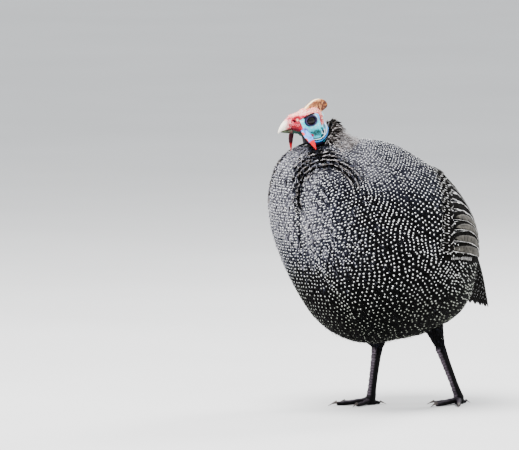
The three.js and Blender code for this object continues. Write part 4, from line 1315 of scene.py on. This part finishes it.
# %% One skin
whole = bmesh.new()
carrier = whole.verts.layers.float_color.new("paint")
for part, slot_index, colours in ((trunk, 0, None), (face, 1, paint), (legs, 2, leg_paint)):
    holder = bpy.data.meshes.new("holder")
    part.to_mesh(holder)
    first_vert, first_face = len(whole.verts), len(whole.faces)
    whole.from_mesh(holder)
    whole.verts.ensure_lookup_table()
    whole.faces.ensure_lookup_table()
    for polygon in whole.faces[first_face:]:
        polygon.material_index, polygon.smooth = slot_index, True
    if colours is not None:
        for vert, colour in zip(whole.verts[first_vert:], colours):
            vert[carrier] = (*colour, 1)
    bpy.data.meshes.remove(holder)
    part.free()
skin = mesh_object("skin", whole, hidden_skin.material, face_finish.material, leg_finish.material)
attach(skin, "root")
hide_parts("torso", "neck", "head", "wattle_left", "wattle_right", "thigh_left", "thigh_right",
            "tarsus_left", "tarsus_right", "foot_left", "foot_right")
print("skin", len(skin.data.polygons), "faces")

# %% [markdown]
# The solids of eyes, casque, bill and claws are right as they are: they keep their meshes and get
# finishes. The eye is a polished ball of so dark a brown that a pupil wouldn't show. Horn has a fine
# grain, which roughens it, stands out a little and gives each horn its mottled colour.

# %% Eyes and claws
def dress(node, finish):
    for holder in frame["nodes"][node].material_slots:
        holder.material = finish.material


def horn(name, grain_scale, **values):
    """A finish of fine grain, and the grain itself to colour it by."""
    finish = Finish(name, Specular_IOR_Level=0.35, **values)
    grain = finish.noise(grain_scale, 4.0)
    finish.feed("Roughness", 0.36 + 0.3 * grain)
    finish.relief(grain, 0.0003, 0.6)
    return finish, grain


EYES_MIDDLE = to_frame(HEAD_AT)
HEAD_FORWARD, HEAD_UP = -head_turn[:, 1], head_turn[:, 2]
eye_finish = Finish("dark_eye", Roughness=0.05, Specular_IOR_Level=0.2)
iris = eye_finish.ramp(eye_finish.noise(300.0), (0.3, grey(0.0015)), (0.8, (0.008, 0.005, 0.004)))
eye_finish.feed("Base Color", iris)
dress("eye_left", eye_finish)
dress("eye_right", eye_finish)
claw_finish, grain = horn("claw_horn", 400.0)
claw_finish.feed("Base Color", claw_finish.ramp(grain, (0.3, (0.02, 0.015, 0.015)), (0.7, (0.1, 0.08, 0.07))))
claws = [node for node in frame["nodes"] if node.startswith("claw_")]
for node in claws:
    dress(node, claw_finish)
print("dressed", len(claws), "claws")

# %% [markdown]
# The upper bill is flesh pink at its root and wears to ivory towards the tip. The lower one is
# olive, and dark where it leaves the throat. How far out a place lies is measured along the head.

# %% Bill
bill_finish, grain = horn("bill_horn", 260.0)
out_along = bill_finish.along(HEAD_FORWARD, EYES_MIDDLE) + bill_finish.along(HEAD_UP, EYES_MIDDLE) * 0.25
flesh = bill_finish.ramp(bill_finish.noise(420.0), (0.42, (0.33, 0.004, 0.03)), (0.56, (0.87, 0.3, 0.3)))
ivory = bill_finish.ramp(grain, (0.3, (0.86, 0.7, 0.6)), (0.7, (0.92, 0.88, 0.74)))
worn = bill_finish.band(out_along + (bill_finish.noise(250.0) - 0.5) * 8.0, 30.5, 36.0)
bill_finish.feed("Base Color", bill_finish.blend(worn, flesh, ivory))
dress("bill_upper", bill_finish)
jaw_finish, grain = horn("jaw_horn", 260.0)
out_along = jaw_finish.along(HEAD_FORWARD, EYES_MIDDLE)
base = jaw_finish.ramp(grain, (0.4, (0.1, 0.004, 0.01)), (0.6, (0.03, 0.05, 0.03)))
olive = jaw_finish.ramp(grain, (0.3, (0.012, 0.018, 0.009)), (0.7, (0.06, 0.085, 0.04)))
jaw_finish.feed("Base Color", jaw_finish.blend(jaw_finish.band(out_along, 28.0, 32.0), base, olive))
dress("bill_lower", jaw_finish)
bill_root = to_drawing(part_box("bill_upper")[1])[1]
print("the bill starts", round(float(HEAD_AT[1] - bill_root), 1), "mm ahead of the eyes")

# %% [markdown]
# The casque is a horny crest on a core of bone: warm brown on its sides, ivory along its sharp upper
# edge as a painted highlight, rusty at the rear and dark and flaking round its foot.

# %% Casque
casque_finish, grain = horn("casque_horn", 190.0)
ahead, above = (casque_finish.along(way, EYES_MIDDLE) for way in (HEAD_FORWARD, HEAD_UP))
aside = casque_finish.along((1.0, 0.0, 0.0), EYES_MIDDLE)
# Near the casque's middle plane, along its narrow edge, the colour turns ivory: a painted highlight.
edge = 1 - casque_finish.band(aside * aside, 1.0, 5.5)
shade = casque_finish.ramp(grain, (0.38, (0.17, 0.045, 0.012)), (0.62, (0.62, 0.27, 0.1)))
shade = casque_finish.blend(edge, shade, (0.9, 0.78, 0.5))
rear = casque_finish.band(-1.0 * ahead + above * 0.3, 31.0, 36.0) * 0.85
shade = casque_finish.blend(rear, shade, (0.59, 0.2, 0.01))
foot = 1 - casque_finish.band(above + 0.35 * ahead, 8.5, 14.5)
flakes = casque_finish.band(casque_finish.noise(330.0), 0.46, 0.54)
casque_finish.feed("Base Color", casque_finish.blend(foot * flakes, shade, (0.085, 0.021, 0.009)))
dress("casque", casque_finish)
casque_top = to_drawing(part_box("casque")[1])[2]
print("the casque stands", round(float(casque_top - HEAD_AT[2]), 1), "mm above the eyes")

# %% [markdown]
# The long feathers of wing and tail are single vanes, each on its own route. A vane starts as a
# grid, is given a thickness with `solidify`, and its outline is narrow at the quill, broad past the
# middle and round at the end. Like the small feathers each has a pale margin under a dark web, and
# the edges of both may wave, so that the margin shows as a zigzag.

# %% Long vanes
WAVE, ACROSS_STEPS = 8.5, 4


def vane_shape(rows, thickness):
    """A closed blade: columns are across (-1 to 1), along (0 to 1) and height in mm."""
    bm = bmesh.new()
    bmesh.ops.create_grid(bm, x_segments=ACROSS_STEPS, y_segments=rows, size=1)
    bmesh.ops.solidify(bm, geom=bm.faces[:], thickness=thickness)
    bmesh.ops.recalc_face_normals(bm, faces=bm.faces)
    spots = np.array([vert.co[:] for vert in bm.verts])
    faces = [[vert.index for vert in face.verts] for face in bm.faces]
    bm.free()
    spots[:, 1] = (np.clip(spots[:, 1], -1, 1) + 1) / 2
    spots[:, 0] = np.clip(spots[:, 0], -1, 1)
    spots[:, 2] = np.where(spots[:, 2] > spots[:, 2].mean(), 0, -thickness)
    return spots, faces


def outline(t):
    """The half width along a vane, in parts of its greatest."""
    return (0.55 + 0.45 * np.sin(pi / 2 * np.minimum(1, t * 1.5))) * np.sqrt(np.maximum(1 - t**6, 0.02))


class Route:
    """The middle line of a vane: places, the way across and the way out, at even steps of t."""

    def __init__(self, at, out, side):
        self.at, self.out = at, unit(out)
        along = unit(np.gradient(at, axis=0))
        self.across = unit(np.cross(along, self.out)) * side
        self.length = np.linalg.norm(np.diff(at, axis=0), axis=-1).sum()

    def place(self, x, t, height):
        """Drawing mm of corners x mm across, t along and height mm out."""
        k = np.clip(t, 0, 1) * (len(self.at) - 1)
        i = np.minimum(k.astype(int), len(self.at) - 2)
        part = (k - i)[..., None]
        at, across, out = (line[i] * (1 - part) + line[i + 1] * part
                           for line in (self.at, self.across, self.out))
        return at + across * x[..., None] + out * height[..., None]


def arch(edges, x, t):
    """The height of a vane at x, -1 tucked edge to 1 free edge. It lies lower at the quill."""
    tucked, free = edges
    return (tucked + (free - tucked) * (x + 1) / 2 + 0.5 * (1 - x**2)) * (0.55 + 0.45 * t)


def vane(route, shape, half, edges, narrow=1.0, short=1.0, rise=0.0, wavy=0.0):
    """Corners of one long vane."""
    x, t, thick = shape[0].T
    width = half * outline(t) * narrow
    waves = wavy * np.sin(2 * pi * t * route.length / WAVE + 5 * rise) * np.abs(x)
    return route.place(x * width + waves, t * short, arch(edges, x, t) + thick + rise)


VANE = vane_shape(rows=16, thickness=0.35)
print("a vane has", len(VANE[1]), "faces")

# %% [markdown]
# Marks lie on a vane's web as thin closed shapes of their own, because a picture baked on so large a
# piece would blur them. A band is a long strip that runs along the vane and pinches at its ends.
# Bars are rows of small lenses, drawn out across or along the vane.

# %% Bands and bars
STRIPE, BAR, BAR_RISE = vane_shape(rows=26, thickness=0.25), lens_shape(points=7, height=0.22), 0.22


def band(route, shape, half, edges, middle, breadth, start, end, rise, wavy, beat):
    """Corners of a pale band along a vane: middle and breadth are in half widths."""
    x, t, thick = shape[0].T
    u = start + (end - start) * t
    swing = wavy * np.sin(2 * pi * u * route.length / WAVE + beat)
    pinch = np.sqrt(np.maximum(1 - (2 * t - 1) ** 4, 0.03))
    place = middle + x * breadth * pinch + swing
    return route.place(place * half * outline(u), u, arch(edges, place, u) + thick + rise)


def bars(route, half, edges, gap, sides, lean, long, thin, start=0.12, end=0.97):
    """Rows of pale bars, gap mm apart, as corners of small lenses: each is long times the vane's half
    width across it and thin mm along it, and leans. Sides are in half widths."""
    steps = int(route.length * (end - start) / gap)
    made = []
    for i in range(steps):
        for j, side in enumerate(sides):
            t = start + (end - start) * (i + 0.5 * (j % 2) + rng.uniform(-0.12, 0.12)) / steps
            width = half * outline(np.array(t))
            u, v, dome = BAR[0].T
            x = (side + rng.uniform(-0.05, 0.05)) * width + u * long * width
            along = t + (v * thin + u * long * width * lean) / route.length
            made.append(route.place(x, along, arch(edges, x / width, along) + BAR_RISE + dome))
    return made


print("a band has", len(STRIPE[1]), "faces, a bar", len(BAR[1]))

# %% [markdown]
# The folded wing. Nine flight feathers leave the edge of the coverts and sweep down to the wing's
# tip, the upper ones lying over the lower ones, so that of most only the free lower edge shows. A
# route is drawn on the plumage in degrees of `a` and `b`. The feathers share out the space between
# three roots and three tips, which stand for the first, the middle and the last one.

# %% Routes on the wing
ROUTE_STEPS = 24


def wing_route(side, root, tip, bulge):
    """The route of a vane on the wing, from root to tip as a, b, bulging sideways by some b."""
    t = np.linspace(0, 1, ROUTE_STEPS)
    a = root[0] + (tip[0] - root[0]) * t
    b = root[1] + (tip[1] - root[1]) * t + bulge * np.sin(pi * t)
    return Route(plumage.at(a, side * b), plumage.out(a, side * b), side)


def through(stops, t):
    """The place t along three stops, on a curve."""
    begin, middle, last = (np.radians(stop) for stop in stops)
    return begin * (1 - t) * (1 - 2 * t) + middle * 4 * t * (1 - t) + last * t * (2 * t - 1)


FLIGHT = {"count": 9, "roots": ((88, 31), (99.6, 67), (110, 94)),
          "tips": ((123.6, 20), (140.4, 38.5), (150.5, 60)), "half": 8.8, "edges": (0.2, 1.8)}
COVERTS = {"count": 11, "roots": ((82, 27), (92, 66), (106, 96)),
           "tips": ((95, 28), (102, 65), (115, 91)), "half": 7.0, "edges": (1.5, 2.2)}
print("a route has", ROUTE_STEPS, "places")

# %% [markdown]
# The upper flight feathers are black with wavy pale margins, the lower ones have a broad grey-brown
# band. Below the last one lies a vane with no margin, whose comb of fine pale bars shows under the
# wing. A row of coverts, scalloped, covers the quills: each has two rows of short dashes within its
# pale margin.

# %% Feathers of the wing
WEB_RISE, BAND_RISE, SIZE_SPREAD, FLIGHT_BULGE = 0.24, 0.44, (0.94, 1.06), -5
UPPER_FEATHERS, COVERT_ROWS = 5, (-0.35, 0.35)
wing = {kind: [] for kind in ("flight_margins", "flight_webs", "flight_bands", "covert_margins",
                              "covert_webs", "wing_bars")}
for side in (1, -1):
    for i in range(FLIGHT["count"] + 1):
        t = i / (FLIGHT["count"] - 1)
        bulge = radians(FLIGHT_BULGE * (1 - smooth_step(t, 0.7, 1.0)))
        route = wing_route(side, through(FLIGHT["roots"], t), through(FLIGHT["tips"], t), bulge)
        half, edges = FLIGHT["half"] * rng.uniform(*SIZE_SPREAD), FLIGHT["edges"]
        lay_on = {"route": route, "half": half, "edges": edges}
        upper, comb = i < UPPER_FEATHERS, i == FLIGHT["count"]
        if not comb:
            wing["flight_margins"].append(vane(**lay_on, shape=VANE, wavy=1.3 if upper else 0.4))
        wing["flight_webs"].append(vane(**lay_on, shape=VANE, narrow=0.78 if upper else 0.92, short=0.985,
                                        rise=WEB_RISE, wavy=0.6 if upper else 0.3))
        beat = rng.uniform(0, 6)
        if not upper and not comb:
            wing["flight_bands"].append(band(**lay_on, shape=STRIPE, middle=0.33, breadth=0.55, start=0.1,
                                             end=0.96, rise=BAND_RISE, wavy=0.05, beat=beat))
        if comb:
            wing["wing_bars"] += bars(**lay_on, gap=2.8, sides=(0.5,), lean=0, long=0.34, thin=0.6,
                                      start=0.1, end=0.6)
    for i in range(COVERTS["count"]):
        t = i / (COVERTS["count"] - 1)
        route = wing_route(side, through(COVERTS["roots"], t), through(COVERTS["tips"], t), 0)
        half, edges = COVERTS["half"] * rng.uniform(*SIZE_SPREAD), COVERTS["edges"]
        lay_on = {"route": route, "half": half, "edges": edges}
        wing["covert_margins"].append(vane(**lay_on, shape=VANE, narrow=0.95, wavy=0.9))
        wing["covert_webs"].append(vane(**lay_on, shape=VANE, narrow=0.91, short=0.975, rise=WEB_RISE,
                                        wavy=0.5))
        for at_side in COVERT_ROWS:
            wing["wing_bars"] += bars(**lay_on, gap=6.4, sides=(at_side,), lean=0.1, long=0.13, thin=1.7,
                                      start=0.2, end=0.95)
print(len(wing["flight_webs"]), "flight feathers")

# %% [markdown]
# All webs share one black finish. Margins and bars are mottled grey and near white, bands dark and
# lighter grey-brown. Every kind becomes one object. The webs of the flight feathers replace the
# rough wings of the solids.

# %% Wings
flight_finish = mottled("flight_web", 140.0, (0.3, grey(0.001, 0.05)), (0.7, grey(0.005, 0.08)),
                        strength=0.7, Roughness=0.8, Specular_IOR_Level=0.01)
margin_finish = mottled("flight_margin", 160.0, (0.35, grey(0.12, 0.04)), (0.6, grey(0.7, 0.02)),
                        Roughness=0.7, Specular_IOR_Level=0.1)
band_finish = mottled("flight_band", 190.0, (0.35, (0.012, 0.011, 0.009)), (0.65, (0.075, 0.068, 0.056)),
                      Roughness=0.7, Specular_IOR_Level=0.15)
COARSE = 4


def lay_vanes(name, shape, corners, finish):
    """One object of long vanes, each with its patch of the bake map where its middle lies, as found
    on a coarser grid of the plumage."""
    corners = np.array(corners)
    middle = corners.mean(1)
    coarse = plumage.points[::COARSE, ::COARSE]
    gap = np.linalg.norm(coarse.reshape(1, -1, 3) - middle[:, None], axis=-1)
    i, j = np.divmod(gap.argmin(1), coarse.shape[1])
    spots_uv = unwrap(plumage.a_lines[::COARSE][i], plumage.b_lines[::COARSE][j])
    return coat(name, shape, corners, np.full(len(corners), 0.5), spots_uv, finish.material)


WING_COAT = {"flight_margins": (VANE, margin_finish), "flight_webs": (VANE, flight_finish),
             "flight_bands": (STRIPE, band_finish), "covert_margins": (VANE, margin_finish),
             "covert_webs": (VANE, flight_finish), "wing_bars": (BAR, margin_finish)}
for kind, (shape, finish) in WING_COAT.items():
    made = lay_vanes(kind, shape, wing[kind], finish)
    if kind == "flight_webs":
        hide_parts("wing_left", "wing_right")

# %% [markdown]
# The tail hangs steep as a roof from the rump. Its vanes fan out from the ridge to both sides, each
# tucked under the one above it, and shorter coverts lie over their quills. They are dark, with
# rows of small dull pearls. A vane of the fan is told by its rank, 0 at the ridge and 1 at the
# outer edge, the parts of the ridge's length at which it starts and ends, and its height in mm.

# %% The fan of the tail
RIDGE_LINE = np.array([(0, 100, 240), (0, 139, 226), (0, 160, 185), (0, 179, 125)], float)
TAIL_SLOPE, TAIL_SPAN, TAIL_HALF, TAIL_STEPS, TAIL_EDGES = radians(33), 45, 7.2, 20, (0.1, 0.5)
TAIL_FEATHERS, TAIL_COVERTS, COVERT_SPREAD = 7, 4, 4.4
FAN = [(i / TAIL_FEATHERS, 0.2, 1 - 0.07 * i / TAIL_FEATHERS, 0.9 - 0.45 * i) for i in range(TAIL_FEATHERS)]
FAN += [(i / COVERT_SPREAD, 0.08, 0.72 - 0.06 * i, 2.2 - 0.6 * i) for i in range(TAIL_COVERTS)]


def ridge_place(t):
    """The tail's ridge as a smooth curve through four places."""
    k = np.clip(t, 0, 1) * 3
    stops = np.vstack([2 * RIDGE_LINE[0] - RIDGE_LINE[1], RIDGE_LINE, 2 * RIDGE_LINE[3] - RIDGE_LINE[2]])
    i = np.minimum(k.astype(int), 2)
    u = (k - i)[:, None]
    p0, p1, p2, p3 = (stops[i + n] for n in range(4))
    bend = (2 * p0 - 5 * p1 + 4 * p2 - p3) * u**2 + (3 * p1 - p0 - 3 * p2 + p3) * u**3
    return 0.5 * (2 * p1 + (p2 - p0) * u + bend)


tail_margins, tail_webs, tail_marks = [], [], []
for side in (1, -1):
    across = np.array([side * sin(TAIL_SLOPE), -cos(TAIL_SLOPE), 0])
    outward = unit(np.array([side * cos(TAIL_SLOPE), sin(TAIL_SLOPE), 0.3]))
    for rank, start, end, lift in FAN:
        t = np.linspace(0, 1, TAIL_STEPS)
        along = start + (end - start) * t
        aside = TAIL_HALF * 0.6 + TAIL_SPAN * rank
        line = ridge_place(along) + across * (aside * (0.45 + 0.55 * along))[:, None] + outward * lift
        lay_on = {"route": Route(line, np.tile(outward, (TAIL_STEPS, 1)), side), "half": TAIL_HALF,
                  "edges": TAIL_EDGES}
        tail_margins.append(vane(**lay_on, shape=VANE))
        tail_webs.append(vane(**lay_on, shape=VANE, narrow=0.93, short=0.99, rise=0.22))
        tail_marks += bars(**lay_on, gap=6.2, sides=(-0.55, 0.0, 0.55), lean=0.15, long=0.12, thin=0.8)
print(len(tail_webs), "tail feathers")

# %% [markdown]
# Their margins are only a little paler than the black webs, and the pearls are grey.

# %% Tail
tail_edge = mottled("tail_edge", 120.0, (0.3, grey(0.006)), (0.7, grey(0.02)),
                    Roughness=0.7, Specular_IOR_Level=0.03)
dull_pearl = mottled("dull_pearl", 150.0, (0.3, grey(0.08)), (0.7, grey(0.3)), fine=1200.0, depth=0.0003,
                     strength=0.5, Roughness=0.6, Specular_IOR_Level=0.2)
lay_vanes("tail_margins", VANE, tail_margins, tail_edge)
made = lay_vanes("tail_webs", VANE, tail_webs, flight_finish)
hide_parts("tail")
lay_vanes("tail_pearls", BAR, tail_marks, dull_pearl)

# %% [markdown]
# Below the belly the thighs show as dark cones of soft feathers without pearls, which narrow to the
# hock. Each is a form of its own: rings along the limb, from the hip down and a little past the
# hock. The left leg's cone is slim, the right one's is fuller. `rise` is 0 at the hock and 1 at the
# hip, and `swell` says how late or early the cone widens between them.

# %% Thighs
HIP_OUT, HIP_AHEAD, HIP_HEIGHT, HIP_GIRTH, SHANK, BELOW_HOCK = 33, 34, 150, 23, 72, 6
THIGH_ROWS, THIGH_SHARE, THIGH_GAP, THIGH_REACH = 30, 0.9, 4.4, 1.2
RINGS, RING_STEPS, FLATNESS = 41, 48, 0.9
THIGHS = {"left": {"side": 1, "hock_girth": 7.2, "swell": 1.25},
          "right": {"side": -1, "hock_girth": 7.6, "swell": 0.55}}


def girth_at(rise, leg):
    """The thigh's half width, which narrows on below the hock."""
    above = HIP_GIRTH * np.maximum(rise, 0) ** leg["swell"]
    return leg["hock_girth"] + above + BELOW_HOCK * np.minimum(rise, 0)


def thigh_form(leg):
    """The cone of one thigh, a going from 0 at the hip to 1 below the hock."""
    ankle, hock = LEGS[leg["side"]]
    hip = np.array([leg["side"] * HIP_OUT, hock[1] - HIP_AHEAD, HIP_HEIGHT])
    shank_way = (ankle - hock) / (ankle - hock)[2]
    a_thigh = np.linspace(0, 1, RINGS)
    turn = np.linspace(-pi, pi, RING_STEPS, endpoint=False)
    rise, spin = np.meshgrid(1.0 - THIGH_REACH * a_thigh, turn, indexing="ij")
    girth = girth_at(rise, leg)
    centre = hock + (hip - hock) * np.maximum(rise, 0)[..., None]
    centre = centre + shank_way * (SHANK * np.minimum(rise, 0))[..., None]
    spread = np.stack([girth * FLATNESS * np.cos(spin), girth * np.sin(spin), np.zeros_like(spin)], -1)
    return Form(centre + spread, a_thigh, spread)


for word, leg in THIGHS.items():
    a, b = [], []
    for k in range(THIGH_ROWS):
        row = THIGH_SHARE * k / THIGH_ROWS
        around = int(2 * pi * girth_at(1 - THIGH_REACH * row, leg) / THIGH_GAP)
        a += [row] * around
        b += list(-pi + (np.arange(around) + 0.5 * (k % 2)) / around * 2 * pi)
    a, b, n = np.array(a), np.array(b), len(a)
    small = {"a": a + rng.normal(0, 0.006, n), "b": b + rng.normal(0, 0.04, n), "length": 10.0 - 2 * a,
             "half": 3.3 - 0.8 * a, "root": np.full(n, -1.2), "tip": rng.uniform(0.1, 0.8, n),
             "turn": rng.normal(0, 0.1, n), "crown": 0.6}
    coat("thigh_feathers_" + word, WEB, lay(thigh_form(leg), WEB, small), rng.uniform(0.1, 0.55, n),
         unwrap(a * pi, b), web_finish.material)
